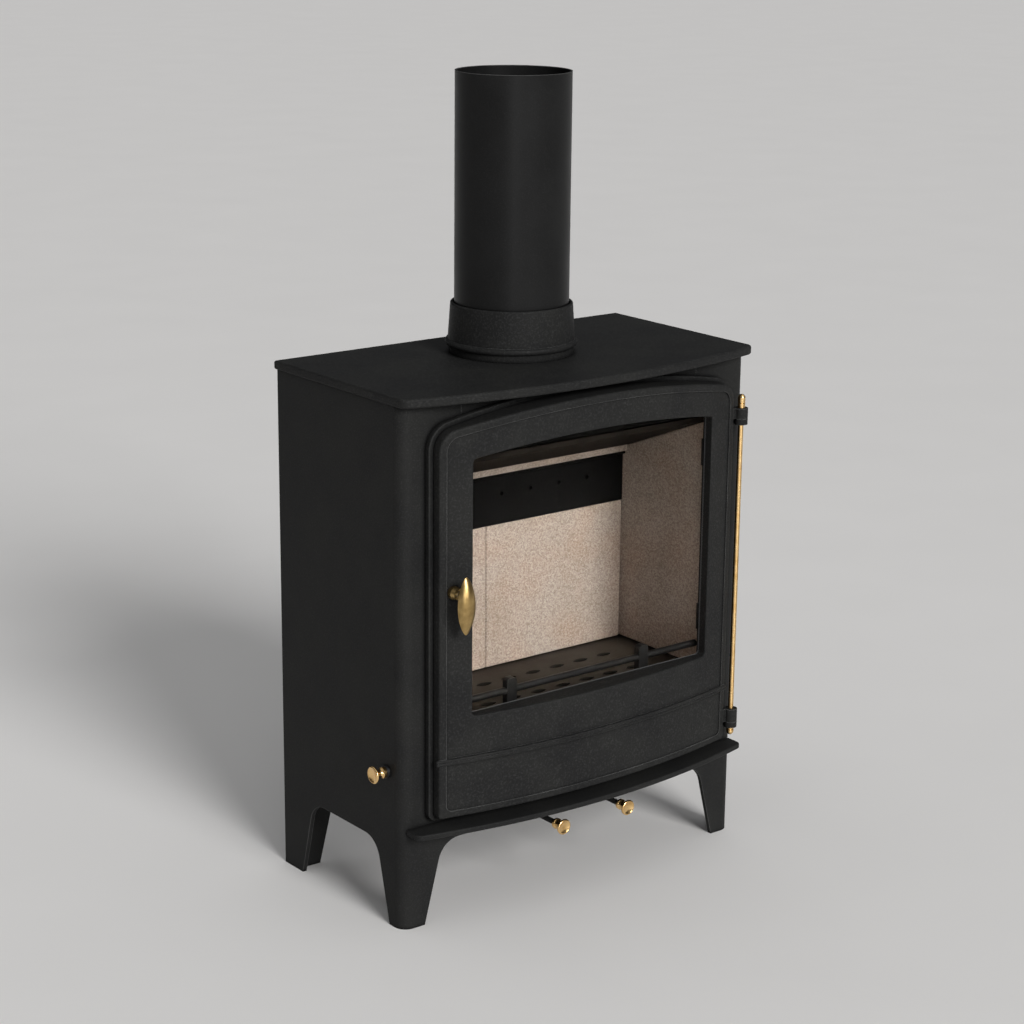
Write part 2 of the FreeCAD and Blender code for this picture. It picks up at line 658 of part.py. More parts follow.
def latch_pocket():
    """Recess in the back of the door where the latch finger turns round the keeper."""
    left = HANDLE_X - LATCH_HUB_RADIUS - SLIDE_GAP
    right = HANDLE_X + LATCH_FINGER + 2 * SLIDE_GAP
    low = KEEPER_Z - KEEPER_HEAD_RADIUS - LATCH_POCKET_ROOM
    high = HANDLE_Z + LATCH_HUB_RADIUS + LATCH_POCKET_ROOM
    return box((left, right), (DOOR_BACK - LATCH_POCKET_DEPTH, DOOR_BACK), (low, high))


def door_casting():
    """Bowed cast door: raised border, double bead, window, seats in the back, hinge eyes."""
    deep = DOOR_CROWN - RIB_BEAD
    door = door_outline(0, (deep, DOOR_BACK)).common(bow_cylinder(0))
    outer = [e for e in door.Edges if e.BoundBox.YMax < DOOR_BACK - DOOR_EDGE / 2]
    door = rounded(door, DOOR_EDGE_ROUND, outer)
    door = door.cut(door_outline(BORDER_WIDTH, (deep, DOOR_BACK)).cut(bow_cylinder(FACE_RECESS)))
    door = door.cut(window_outline(0, (deep, DOOR_BACK)))
    sight = [e for e in door.Edges if on_window_front(e)]
    door = rounded(door, WINDOW_EDGE_ROUND, sight)
    hollow = box((-WINDOW_HALF, WINDOW_HALF), (deep, DOOR_BACK),
                 (DOOR_BOTTOM + LOWER_HOLLOW_MARGIN, WINDOW_BOTTOM - LOWER_HOLLOW_MARGIN))
    level = DOOR_BOTTOM + RIB_RISE
    half_pitch = RIB_BEAD - RIB_MERGE / 2
    door = join([door, rib(level - half_pitch), rib(level + half_pitch)] + knuckles())
    cuts = [hollow.common(bow_cylinder(LOWER_SKIN)), rope_groove(), latch_pocket()]
    cuts.append(window_outline(GLASS_LAP + GLASS_PLAY, (GLASS_SEAT, DOOR_BACK)))
    cuts.append(rod(SPINDLE_RADIUS + RUN_FIT, V(HANDLE_X, deep, HANDLE_Z), V(HANDLE_X, DOOR_BACK, HANDLE_Z)))
    cuts.append(rod(HINGE_ROD_RADIUS + RUN_FIT, V(HINGE_X, HINGE_Y, 0), V(HINGE_X, HINGE_Y, BODY_HEIGHT)))
    cuts += clip_screw_bars(SCREW_RADIUS)
    for cut in cuts:
        door = door.cut(cut)
    return door


def on_window_front(edge):
    """True for the edges where the window opening meets the door's front face."""
    middle = edge.CenterOfMass
    inside_x = abs(middle.x) < WINDOW_HALF + NEAR
    inside_z = WINDOW_BOTTOM - NEAR < middle.z < WINDOW_APEX + NEAR
    return inside_x and inside_z and edge.BoundBox.YMax < DOOR_BACK - DOOR_EDGE


def window_glass():
    """Flat ceramic glass behind the window."""
    return window_outline(GLASS_LAP, (DOOR_BACK - GLASS_THICKNESS, DOOR_BACK))


def glass_gasket():
    """Flat tape between the glass and its seat."""
    depth = (GLASS_SEAT, GLASS_SEAT + GASKET_THICKNESS)
    return window_outline(GLASS_LAP, depth).cut(window_outline(0, depth))


def door_rope_seal():
    """Round rope laid in its channel round the back of the door."""
    slab = door_outline(ROPE_LINE, (ROPE_CENTRE_Y, DOOR_BACK))
    outline = [f for f in slab.Faces if f.BoundBox.YMax < ROPE_CENTRE_Y + SLIDE_GAP][0].OuterWire
    start = outline.Edges[0]
    point = start.valueAt(start.FirstParameter)
    section = Part.Wire(Part.makeCircle(ROPE_RADIUS, point, start.tangentAt(start.FirstParameter)))
    return Part.Wire(Part.sortEdges(outline.Edges)[0]).makePipeShell([section], True, False)


def clip_places():
    """Side and level of each glass clip."""
    return [(side, level) for side in (-1, 1) for level in CLIP_LEVELS]


def clip_screw_bars(radius):
    """The clip screws' shanks as bars."""
    bars = []
    for side, level in clip_places():
        seat = V(side * CLIP_SCREW_X, DOOR_BACK, level)
        bars.append(rod(radius, seat - ALONG_Y * SCREW_DEPTH, seat + ALONG_Y * CLIP_THICKNESS))
    return bars


def glass_clips():
    """Flat clips that hold the glass against its gasket."""
    clips = []
    inner = WINDOW_HALF + GLASS_LAP - CLIP_BITE
    for (side, level), bar in zip(clip_places(), clip_screw_bars(SCREW_RADIUS)):
        clip = box((side * inner, side * CLIP_EDGE), (DOOR_BACK, DOOR_BACK + CLIP_THICKNESS),
                   (level - CLIP_WIDTH / 2, level + CLIP_WIDTH / 2))
        clips.append(clip.cut(bar))
    return Part.makeCompound(clips)


def clip_screws():
    """Round-headed screws through the glass clips."""
    screws = []
    for (side, level), bar in zip(clip_places(), clip_screw_bars(SCREW_RADIUS)):
        base = V(side * CLIP_SCREW_X, DOOR_BACK + CLIP_THICKNESS, level)
        head = rod(SCREW_HEAD_RADIUS, base, base + ALONG_Y * SCREW_HEAD_HEIGHT)
        screws.append(join([bar, head]))
    return Part.makeCompound(screws)


def handle_leaf():
    """Almond leaf: the front slice of a barrel that is turned about an upright axis, with a neck behind."""
    top = HANDLE_Z + LEAF_ABOVE_PIVOT
    bottom = top - LEAF_LENGTH
    half = LEAF_WIDTH / 2
    set_back = (half ** 2 - LEAF_THICKNESS ** 2) / (2 * LEAF_THICKNESS)
    belly = set_back + LEAF_THICKNESS
    steps = [(set_back, 0), ((belly, LEAF_LENGTH / 2), (set_back, LEAF_LENGTH)), (0, LEAF_LENGTH)]
    barrel = turned((0, 0), steps, V(HANDLE_X, LEAF_BACK + set_back, bottom), ALONG_Z)
    slice_box = box((HANDLE_X - belly, HANDLE_X + belly), (LEAF_BACK - belly, LEAF_BACK), (bottom, top))
    leaf = barrel.common(slice_box)
    neck_end = V(HANDLE_X, LEAF_BACK + LEAF_NECK_LENGTH, HANDLE_Z)
    neck = rod(LEAF_NECK_RADIUS, V(HANDLE_X, LEAF_BACK, HANDLE_Z), neck_end)
    return join([leaf, neck]).cut(rod(SPINDLE_RADIUS, V(HANDLE_X, LEAF_BACK, HANDLE_Z), neck_end))


def handle_spindle():
    """Round spindle from the leaf through the door to the latch finger."""
    return rod(SPINDLE_RADIUS, V(HANDLE_X, LEAF_BACK, HANDLE_Z), V(HANDLE_X, LATCH_BACK, HANDLE_Z))


def handle_rose(door):
    """Turned collar on the door's face round the spindle."""
    base = V(HANDLE_X, HANDLE_FACE + FACE_RECESS, HANDLE_Z)
    height = ROSE_HEIGHT + FACE_RECESS
    shoulder = ROSE_RADIUS - FACE_RECESS
    rose = turned((0, 0), [(ROSE_RADIUS, 0), (ROSE_RADIUS, height / 2), (shoulder, height), (0, height)],
                  base, -ALONG_Y)
    bore = rod(SPINDLE_RADIUS + RUN_FIT, base, base - ALONG_Y * height)
    return rose.cut(bore).cut(door)


def latch_finger():
    """Finger on the spindle's inner end, pointing to the window while released."""
    hub = rod(LATCH_HUB_RADIUS, V(HANDLE_X, LATCH_FRONT, HANDLE_Z), V(HANDLE_X, LATCH_BACK, HANDLE_Z))
    finger = box((HANDLE_X, HANDLE_X + LATCH_FINGER), (LATCH_FRONT, LATCH_BACK),
                 (HANDLE_Z - LATCH_FINGER_HALF, HANDLE_Z + LATCH_FINGER_HALF))
    return join([hub, finger]).cut(handle_spindle())


def latch_keeper():
    """Headed stud in the frame that the latch finger turns behind."""
    neck = V(KEEPER_X, LATCH_FRONT - SLIDE_GAP, KEEPER_Z)
    shank = rod(KEEPER_SHANK_RADIUS, neck, V(KEEPER_X, FRONT, KEEPER_Z))
    head = rod(KEEPER_HEAD_RADIUS, neck - ALONG_Y * KEEPER_HEAD_HEIGHT, neck)
    return join([shank, head])


def hinge_rod_bar():
    """The hinge rod's bar, which also cuts its holes."""
    return rod(HINGE_ROD_RADIUS, V(HINGE_X, HINGE_Y, BOTTOM_FINIAL - BOTTOM_FINIAL_HEIGHT + FINIAL_CAP),
               V(HINGE_X, HINGE_Y, TOP_FINIAL + TOP_FINIAL_HEIGHT - FINIAL_CAP))


def hinge_lug(knuckle):
    """Lug welded to the front corner under one of the door's hinge eyes."""
    top = knuckle - SLIDE_GAP
    eye = rod(KNUCKLE_RADIUS, V(HINGE_X, HINGE_Y, top - LUG_HEIGHT), V(HINGE_X, HINGE_Y, top))
    arm = box((HINGE_X - LUG_WIDTH / 2, HINGE_X + LUG_WIDTH / 2), (HINGE_Y, FRONT), (top - LUG_HEIGHT, top))
    return join([eye, arm]).cut(hinge_rod_bar())


def hinge_finial(base, height, axis):
    """Turned end cap with a rounded tip, pushed on to the hinge rod."""
    neck = FINIAL_RADIUS - FINIAL_GROOVE
    waist = height / 3
    tip = height - FINIAL_RADIUS
    bulge = FINIAL_RADIUS * math.sqrt(0.5)
    steps = [(FINIAL_RADIUS, 0), (FINIAL_RADIUS, waist - FINIAL_GROOVE), (neck, waist),
             (FINIAL_RADIUS, waist + FINIAL_GROOVE), (FINIAL_RADIUS, tip),
             ((bulge, tip + bulge), (0, height))]
    return turned((0, 0), steps, V(HINGE_X, HINGE_Y, base), axis).cut(hinge_rod_bar())


def turned_knob(head_radius, base, axis):
    """Brass knob: a collar, a hollowed waist and a head with a round rim and a dished face."""
    under = KNOB_LENGTH - KNOB_RIM
    rim = head_radius - KNOB_RIM / 2
    sphere = (rim ** 2 + KNOB_DISH ** 2) / (2 * KNOB_DISH)
    half_angle = math.asin(rim / sphere) / 2
    dish = (sphere * math.sin(half_angle), KNOB_LENGTH - KNOB_DISH + sphere * (1 - math.cos(half_angle)))
    steps = [(KNOB_COLLAR_RADIUS, 0), (KNOB_COLLAR_RADIUS, KNOB_COLLAR),
             ((KNOB_WAIST_RADIUS, (KNOB_COLLAR + under) / 2), (rim, under)),
             ((head_radius, KNOB_LENGTH - KNOB_RIM / 2), (rim, KNOB_LENGTH)),
             (dish, (0, KNOB_LENGTH - KNOB_DISH))]
    return turned((0, 0), steps, base, axis)


def slide_places():
    """Name, side and front edge of each air slide."""
    return (("primary_air", -1, FRONT_INSIDE + PRIMARY_SLIDE_INSET),
            ("airwash", 1, FRONT_INSIDE + AIRWASH_SLIDE_INSET))


def air_slot(side, front, z_range):
    """Air slot in the air box floor that a slide covers while shut."""
    x = side * AIR_SLIDE_SPREAD
    half = AIR_SLIDE_WIDTH / 2 - AIR_SLIDE_LAP
    y_range = (front + AIR_SLIDE_LAP, front + AIR_SLIDE_LENGTH - AIR_SLIDE_LAP)
    return box((x - half, x + half), y_range, z_range)


def air_box():
    """Tray under the base plate in two compartments, one for each air slide."""
    half = CORNER_CLEAR
    rear = FRONT_INSIDE + AIR_BOX_DEPTH
    tray = box((-half, half), (FRONT_INSIDE, rear), (AIR_FLOOR, BASE_UNDER))
    split = FRONT_INSIDE + AIR_DIVIDER
    wall = AIR_SHEET
    for start, end in ((FRONT_INSIDE, split), (split, rear)):
        inside = box((-half + wall, half - wall), (start + wall, end - (wall if end == rear else 0)),
                     (AIR_FLOOR + wall, BASE_UNDER))
        tray = tray.cut(inside)
    for _, side, front in slide_places():
        tray = tray.cut(air_slot(side, front, (AIR_FLOOR, AIR_FLOOR + wall)))
    return tray


def valve_guides():
    """Angle strips under the air box that carry the air slides."""
    strips = []
    for _, side, front in slide_places():
        reach = (front - AIR_TRAVEL / 2, front + AIR_SLIDE_LENGTH)
        for edge in (-1, 1):
            x = side * AIR_SLIDE_SPREAD + edge * (AIR_SLIDE_WIDTH / 2 + SLIDE_GAP)
            under = AIR_SLIDE_UNDER - SLIDE_GAP
            web = box((x, x + edge * AIR_SHEET), reach, (under - AIR_SHEET, AIR_FLOOR))
            lip = box((x - edge * GUIDE_LIP, x + edge * AIR_SHEET), reach, (under - AIR_SHEET, under))
            strips.append(join([web, lip]))
    return Part.makeCompound(strips)


def air_slide(side, front):
    """Sliding plate with a turned-down lip that its rod is welded to."""
    x = side * AIR_SLIDE_SPREAD
    half = AIR_SLIDE_WIDTH / 2
    plate = box((x - half, x + half), (front, front + AIR_SLIDE_LENGTH), (AIR_SLIDE_UNDER, AIR_SLIDE_TOP))
    lip_half = half - GUIDE_LIP - 2 * AIR_SHEET
    lip = box((x - lip_half, x + lip_half), (front, front + AIR_SLIDE_THICKNESS),
              (AIR_ROD_Z - AIR_LIP_DROP / 2, AIR_SLIDE_TOP))
    return join([plate, lip])


def air_rod(side, front):
    """Pull rod from an air slide to its knob."""
    x = side * AIR_SLIDE_SPREAD
    return rod(AIR_ROD_RADIUS, V(x, AIR_KNOB_Y, AIR_ROD_Z), V(x, front, AIR_ROD_Z))


def air_knob(side):
    """Turned knob on the front end of a pull rod."""
    return turned_knob(AIR_KNOB_RADIUS, V(side * AIR_SLIDE_SPREAD, AIR_KNOB_Y, AIR_ROD_Z), -ALONG_Y)


def duct_channel(z_range):
    """The air way inside an airwash duct in the left front corner."""
    return box((-CORNER_CLEAR + DUCT_SHEET, -BRICK_INNER - DUCT_SHEET),
               (FRONT_INSIDE + DUCT_SHEET, FRONT_INSIDE + DUCT_DEPTH - DUCT_SHEET), z_range)


def airwash_duct():
    """Sheet duct up the left front corner from the base plate to the top of the firebox."""
    levels = (BASE_TOP, BODY_HEIGHT - DUCT_TOP_GAP)
    tube = box((-CORNER_CLEAR, -BRICK_INNER), (FRONT_INSIDE, FRONT_INSIDE + DUCT_DEPTH), levels)
    return tube.cut(duct_channel(levels))


def airwash_deflector():
    """Angle under the top plate that turns the airwash down over the glass."""
    half = BRICK_INNER - DEFLECTOR_SIDE_GAP
    back = FRONT_INSIDE + DUCT_DEPTH
    top = BODY_HEIGHT
    hang = box((-half, half), (back, back + DEFLECTOR_SHEET), (top - DEFLECTOR_DROP, top))
    foot = box((-half, half), (back, back + DEFLECTOR_SHEET + DEFLECTOR_FOOT), (top - DEFLECTOR_SHEET, top))
    return join([hang, foot])


def grate_slots(z_range):
    """Lens-shaped slots in rows, through a plate."""
    low, high = z_range
    slots = []
    for y in SLOT_ROW_Y:
        for x in SLOT_X:
            tips = [V(x - SLOT_LENGTH / 2, y, low), V(x + SLOT_LENGTH / 2, y, low)]
            sides = [Part.Arc(tips[0], V(x, y - SLOT_WIDTH / 2, low), tips[1]).toShape(),
                     Part.Arc(tips[1], V(x, y + SLOT_WIDTH / 2, low), tips[0]).toShape()]
            slots.append(Part.Face(Part.Wire(sides)).extrude(V(0, 0, high - low)))
    return Part.makeCompound(slots)


def grate_bed():
    """Cast firebox floor with slots, a front tongue for the log guard and runners below."""
    plate = inner_floor((BED_UNDER, BED_TOP), LINER_FRONT, BED_SIDE_GAP)
    plate = plate.cut(box((-BODY_WIDTH, BODY_WIDTH), (FRONT, BRICK_FRONT), (BED_UNDER, BED_TOP)))
    tongue_half = MOUTH_HALF - BED_TONGUE_SIDE_GAP
    tongue = box((-tongue_half, tongue_half), (BED_TONGUE_FRONT, BRICK_FRONT), (BED_UNDER, BED_TOP))
    bed = join([plate, tongue]).cut(grate_slots((BED_UNDER, BED_TOP)))
    runners = []
    reach = (RIDDLE_LEFT - RIDDLE_TRAVEL, RIDDLE_RIGHT)
    for edge_y, way in ((RIDDLE_FRONT, -1), (RIDDLE_REAR, 1)):
        inner_y = edge_y + way * SLIDE_GAP
        outer_y = inner_y + way * RUNNER_SHEET
        runners.append(box(reach, (inner_y, outer_y), (RUNNER_UNDER, BED_UNDER)))
        runners.append(box(reach, (outer_y, edge_y - way * RUNNER_LAP), (RUNNER_UNDER, RUNNER_TOP)))
    return join([bed] + runners)


def grate_rail():
    """Bar on the left panel that carries the grate bed."""
    return box((-INNER_HALF, -INNER_HALF + RAIL_WIDTH), (BRICK_FRONT, LINER_FRONT),
               (BED_UNDER - RAIL_HEIGHT, BED_UNDER))


def riddling_grate():
    """Slotted plate that slides under the bed."""
    plate = box((RIDDLE_LEFT, RIDDLE_RIGHT), (RIDDLE_FRONT, RIDDLE_REAR), (RIDDLE_UNDER, RIDDLE_TOP))
    return plate.cut(grate_slots((RIDDLE_UNDER, RIDDLE_TOP)))


def riddling_arm():
    """Cranked arm from the underside of the riddling grate to the riddling rod."""
    arm_top = RUNNER_UNDER - SLIDE_GAP
    arm_low = RIDDLE_ROD_Z - RIDDLE_ARM_HEIGHT / 2
    lug_front = RIDDLE_FRONT + RUNNER_LAP + 2 * SLIDE_GAP
    lug_back = lug_front + RIDDLE_ARM_HEIGHT
    arm_front = RIDDLE_ROD_Y - RIDDLE_ARM_HEIGHT / 2
    lug = box((RIDDLE_LEFT, RIDDLE_ARM_X), (lug_front, lug_back), (arm_low, RIDDLE_UNDER))
    arm = box((RIDDLE_LEFT, RIDDLE_ARM_X), (arm_front, lug_back), (arm_low, arm_top))
    return join([lug, arm])


def riddling_rod():
    """Rod from the riddling grate's arm out through the left side."""
    return rod(RIDDLE_ROD_RADIUS, V(RIDDLE_ROD_END, RIDDLE_ROD_Y, RIDDLE_ROD_Z),
               V(RIDDLE_LEFT, RIDDLE_ROD_Y, RIDDLE_ROD_Z))


def riddling_bush():
    """Bush in the left panel that the riddling rod runs in."""
    inside = V(-INNER_HALF, RIDDLE_ROD_Y, RIDDLE_ROD_Z)
    outside = inside - ALONG_X * (SHEET + RIDDLE_BUSH_STAND)
    return ring(RIDDLE_BUSH_RADIUS, RIDDLE_ROD_RADIUS + RUN_FIT, outside, inside)


def riddling_knob():
    """Turned knob on the outer end of the riddling rod."""
    return turned_knob(RIDDLE_KNOB_RADIUS, V(RIDDLE_ROD_END, RIDDLE_ROD_Y, RIDDLE_ROD_Z), -ALONG_X)


def ash_pan():
    """Open sheet pan on the base plate under the grate."""
    levels = (PAN_FLOOR, PAN_FLOOR + PAN_HEIGHT)
    outer = box((-PAN_HALF, PAN_HALF), (PAN_FRONT, LINER_FRONT - PAN_REAR_GAP), levels)
    wall = PAN_SHEET
    inner = box((-PAN_HALF + wall, PAN_HALF - wall), (PAN_FRONT + wall, LINER_FRONT - PAN_REAR_GAP - wall),
                (PAN_FLOOR + wall, PAN_FLOOR + PAN_HEIGHT))
    return outer.cut(inner)


def ash_pan_grip():
    """Bent bar handle on the front of the ash pan."""
    half = PAN_GRIP_WIDTH / 2
    z = PAN_FLOOR + PAN_HEIGHT - PAN_GRIP_DROP
    out = PAN_FRONT - PAN_GRIP_REACH + PAN_GRIP_RADIUS
    legs = [rod(PAN_GRIP_RADIUS, V(x, PAN_FRONT, z), V(x, out, z)) for x in (-half, half)]
    bends = [Part.makeSphere(PAN_GRIP_RADIUS, V(x, out, z)) for x in (-half, half)]
    return join(legs + bends + [rod(PAN_GRIP_RADIUS, V(-half, out, z), V(half, out, z))])


def baffle_level(y):
    """Height of the baffle's underside at a depth."""
    return BED_TOP + BAFFLE_RISE + (LINER_FRONT - y) * math.tan(math.radians(BAFFLE_SLOPE))


def sloped(half, y_range, below, above):
    """Slab parallel to the baffle's underside, between two offsets from it."""
    front, back = y_range
    points = [V(-half, front, baffle_level(front) - below), V(-half, back, baffle_level(back) - below),
              V(-half, back, baffle_level(back) + above), V(-half, front, baffle_level(front) + above)]
    return prism(points, V(2 * half, 0, 0))


def chamfered(brick):
    """Brick with its straight edges broken."""
    return brick.makeChamfer(BRICK_CHAMFER, brick.Edges)


def side_brick():
    """Left firebrick, with a sloped top that carries the baffle."""
    x = -BRICK_OUTER
    points = [V(x, BRICK_FRONT, BED_TOP), V(x, LINER_FRONT, BED_TOP),
              V(x, LINER_FRONT, baffle_level(LINER_FRONT)), V(x, BRICK_FRONT, baffle_level(BRICK_FRONT))]
    return chamfered(prism(points, V(BRICK, 0, 0)))


def rear_brick():
    """Left half of the rear firebrick wall."""
    x_range = (-BRICK_INNER + REAR_BRICK_SIDE_GAP, -BRICK_JOINT / 2)
    return chamfered(box(x_range, (LINER_FRONT - BRICK, LINER_FRONT), (BED_TOP, BED_TOP + REAR_BRICK_HEIGHT)))


def channel_hole_places():
    """Places across the stove of the holes in the liner's air channel."""
    return [(hole - (CHANNEL_HOLES - 1) / 2) * CHANNEL_HOLE_PITCH for hole in range(CHANNEL_HOLES)]


def back_liner():
    """Inner back plate with an air channel over the rear bricks and a sloped flange for the baffle rest."""
    half = INNER_HALF - BED_SIDE_GAP
    flange_half = BRICK_INNER - BRICK_JOINT
    top = baffle_level(LINER_FRONT) - REST_THICKNESS
    plate = box((-half, half), (LINER_FRONT, LINER_FRONT + LINER_SHEET), (BASE_TOP, top))
    flange_front = LINER_FRONT - REST_DEPTH + LINER_SHEET
    flange = sloped(flange_half, (flange_front, LINER_FRONT), REST_THICKNESS + LINER_SHEET, -REST_THICKNESS)
    channel_half = BRICK_INNER - REAR_BRICK_SIDE_GAP
    face = LINER_FRONT - BRICK
    low = BED_TOP + REAR_BRICK_HEIGHT + BRICK_JOINT
    high = baffle_level(face) - REST_THICKNESS - LINER_SHEET
    step = box((-channel_half, channel_half), (face, LINER_FRONT), (low, low + LINER_SHEET))
    front = box((-channel_half, channel_half), (face, face + LINER_SHEET), (low, high))
    level = low + CHANNEL_HOLE_SHARE * (high - low)
    holes = [rod(CHANNEL_HOLE_RADIUS, V(x, face, level), V(x, face + LINER_SHEET, level))
             for x in channel_hole_places()]
    return join([plate, flange, step, front]).cut(Part.makeCompound(holes))


def baffle_rest():
    """Firebrick strip on the liner's flange under the rear of the baffle."""
    return sloped(BRICK_INNER - BRICK_JOINT, (LINER_FRONT - REST_DEPTH, LINER_FRONT), REST_THICKNESS, 0)


def baffle_plate():
    """Sloped plate over the fire, carried by the side bricks and the rest."""
    half = BRICK_OUTER - BRICK_JOINT
    return sloped(half, (FRONT_INSIDE + BAFFLE_FRONT_GAP, LINER_FRONT - BAFFLE_REAR_GAP), 0, BAFFLE_THICKNESS)


def log_guard():
    """Round bar on two flat posts that stand on the grate bed's tongue."""
    half = MOUTH_HALF - GUARD_SIDE_GAP
    y = BED_TONGUE_FRONT + GUARD_SET_BACK
    z = BED_TOP + GUARD_BAR_RISE
    bar = rod(GUARD_BAR_RADIUS, V(-half, y, z), V(half, y, z))
    posts = []
    for x in (-GUARD_POST_SPREAD, GUARD_POST_SPREAD):
        post = box((x - GUARD_POST_WIDTH / 2, x + GUARD_POST_WIDTH / 2),
                   (y - GUARD_POST_DEPTH / 2, y + GUARD_POST_DEPTH / 2), (BED_TOP, BED_TOP + GUARD_POST_RISE))
        tops = edges_along(post, ALONG_Y, lambda m: m.z > z)
        posts.append(rounded(post, GUARD_POST_WIDTH / 3, tops))
    return join([bar] + posts)


def flue_collar():
    """Cast spigot on the top plate: a foot, a round bead, a tapered wall and a socket for the pipe."""
    top = COLLAR_HEIGHT
    outer = COLLAR_BASE_RADIUS
    flange = outer + COLLAR_FLANGE
    rim = SOCKET_RADIUS + COLLAR_WALL
    bead = COLLAR_FLANGE_HEIGHT - COLLAR_BEAD
    lip = COLLAR_WALL / 2
    register = FLUE_BORE - PIPE_WALL
    crest = (flange, COLLAR_FLANGE_HEIGHT - COLLAR_BEAD / 2)
    steps = [(FLUE_BORE, 0), (COLLAR_FOOT_RADIUS, 0), (COLLAR_FOOT_RADIUS, bead),
             (crest, (outer, COLLAR_FLANGE_HEIGHT)),
             (rim, top - lip), ((rim - lip, top), (SOCKET_RADIUS, top - lip)), (SOCKET_RADIUS, SOCKET_FLOOR),
             (register, SOCKET_FLOOR), (register, -COLLAR_REGISTER)]
    collar = turned((FLUE_BORE, -COLLAR_REGISTER), steps, FLUE_AXIS + V(0, 0, TOP_FACE), ALONG_Z)
    return collar.cut(Part.makeCompound(collar_screw_shanks(COLLAR_SCREW_RADIUS)))


def collar_screw_places():
    """Plan positions of the screws that hold the collar."""
    middle = (FLUE_BORE + COLLAR_FOOT_RADIUS) / 2
    angles = [2 * math.pi * k / COLLAR_SCREWS + math.pi / 2 for k in range(COLLAR_SCREWS)]
    return [FLUE_AXIS + V(middle * math.cos(a), middle * math.sin(a), 0) for a in angles]


def collar_screw_shanks(radius):
    """Shanks of the collar screws, up through the top plate into the flange."""
    return [rod(radius, place + V(0, 0, BODY_HEIGHT), place + V(0, 0, TOP_FACE + COLLAR_SCREW_DEPTH))
            for place in collar_screw_places()]


def collar_screws():
    """Hexagon screws under the top plate."""
    screws = []
    for place, shank in zip(collar_screw_places(), collar_screw_shanks(COLLAR_SCREW_RADIUS)):
        seat = place + ALONG_Z * BODY_HEIGHT
        head = hexagon(COLLAR_SCREW_HEAD, seat - ALONG_Z * COLLAR_SCREW_HEAD_HEIGHT, seat)
        screws.append(join([shank, head]))
    return Part.makeCompound(screws)


def flue_pipe():
    """Sheet steel pipe standing in the collar's socket."""
    base = FLUE_AXIS + V(0, 0, TOP_FACE + SOCKET_FLOOR)
    return ring(PIPE_RADIUS, PIPE_RADIUS - PIPE_WALL, base, base + V(0, 0, PIPE_LENGTH))


def blank_bolt_x():
    """Sideways places of the two bolts through the blanking plate."""
    x = OUTLET_RADIUS + BLANK_LAP / 2
    return (-x, x)


def rear_blanking_plate():
    """Disc that closes the rear flue outlet."""
    face = V(0, BLANK_FACE, OUTLET_CENTRE.z)
    disc = rod(BLANK_RADIUS, face, face + ALONG_Y * BLANK_THICKNESS)
    rim = [e for e in disc.Edges if e.BoundBox.YMin > BLANK_FACE + BLANK_THICKNESS / 2]
    disc = rounded(disc, BLANK_THICKNESS / 3, rim)
    for x in blank_bolt_x():
        place = face + ALONG_X * x
        disc = disc.cut(rod(BLANK_BOLT_RADIUS, place, place + ALONG_Y * BLANK_THICKNESS))
    return disc


def blanking_bolts():
    """Bolts through the blanking plate and the back panel."""
    bolts = []
    for x in blank_bolt_x():
        tip = V(x, BACK_INSIDE - BLANK_BOLT_HEAD_HEIGHT, OUTLET_CENTRE.z)
        seat = V(x, BLANK_FACE + BLANK_THICKNESS, OUTLET_CENTRE.z)
        head = hexagon(BLANK_BOLT_HEAD, seat, seat + ALONG_Y * BLANK_BOLT_HEAD_HEIGHT)
        bolts.append(join([rod(BLANK_BOLT_RADIUS, tip, seat), head]))
    return Part.makeCompound(bolts)


def blanking_nuts():
    """Nuts of the blanking plate's bolts, inside the back panel."""
    nuts = []
    for x in blank_bolt_x():
        seat = V(x, BACK_INSIDE, OUTLET_CENTRE.z)
        tip = seat - ALONG_Y * BLANK_BOLT_HEAD_HEIGHT
        nuts.append(hexagon(BLANK_BOLT_HEAD, tip, seat).cut(rod(BLANK_BOLT_RADIUS, tip, seat)))
    return Part.makeCompound(nuts)


def shell_parts():
    """Body, top, flue and the fixed ironwork on the front."""
    return {
        "left_side_panel": left_side_panel(),
        "right_side_panel": mirrored(side_panel()),
        "front_apron": front_strip((SKIRT_HEIGHT, MOUTH_BOTTOM)),
        "front_header": front_strip((MOUTH_APEX - MOUTH_INSET, BODY_HEIGHT)),
        "back_panel": back_panel(),
        "base_plate": base_plate(),
        "top_plate": top_plate(),
        "ash_lip": ash_lip(),
        "door_frame": door_frame(),
        "latch_keeper": latch_keeper(),
        "upper_hinge_lug": hinge_lug(UPPER_KNUCKLE),
        "lower_hinge_lug": hinge_lug(LOWER_KNUCKLE),
        "hinge_rod": hinge_rod_bar(),
        "top_finial": hinge_finial(TOP_FINIAL, TOP_FINIAL_HEIGHT, ALONG_Z),
        "bottom_finial": hinge_finial(BOTTOM_FINIAL, BOTTOM_FINIAL_HEIGHT, -ALONG_Z),
        "flue_collar": flue_collar(),
        "collar_screws": collar_screws(),
        "flue_pipe": flue_pipe(),
        "rear_blanking_plate": rear_blanking_plate(),
        "blanking_bolts": blanking_bolts(),
        "blanking_nuts": blanking_nuts(),
    }


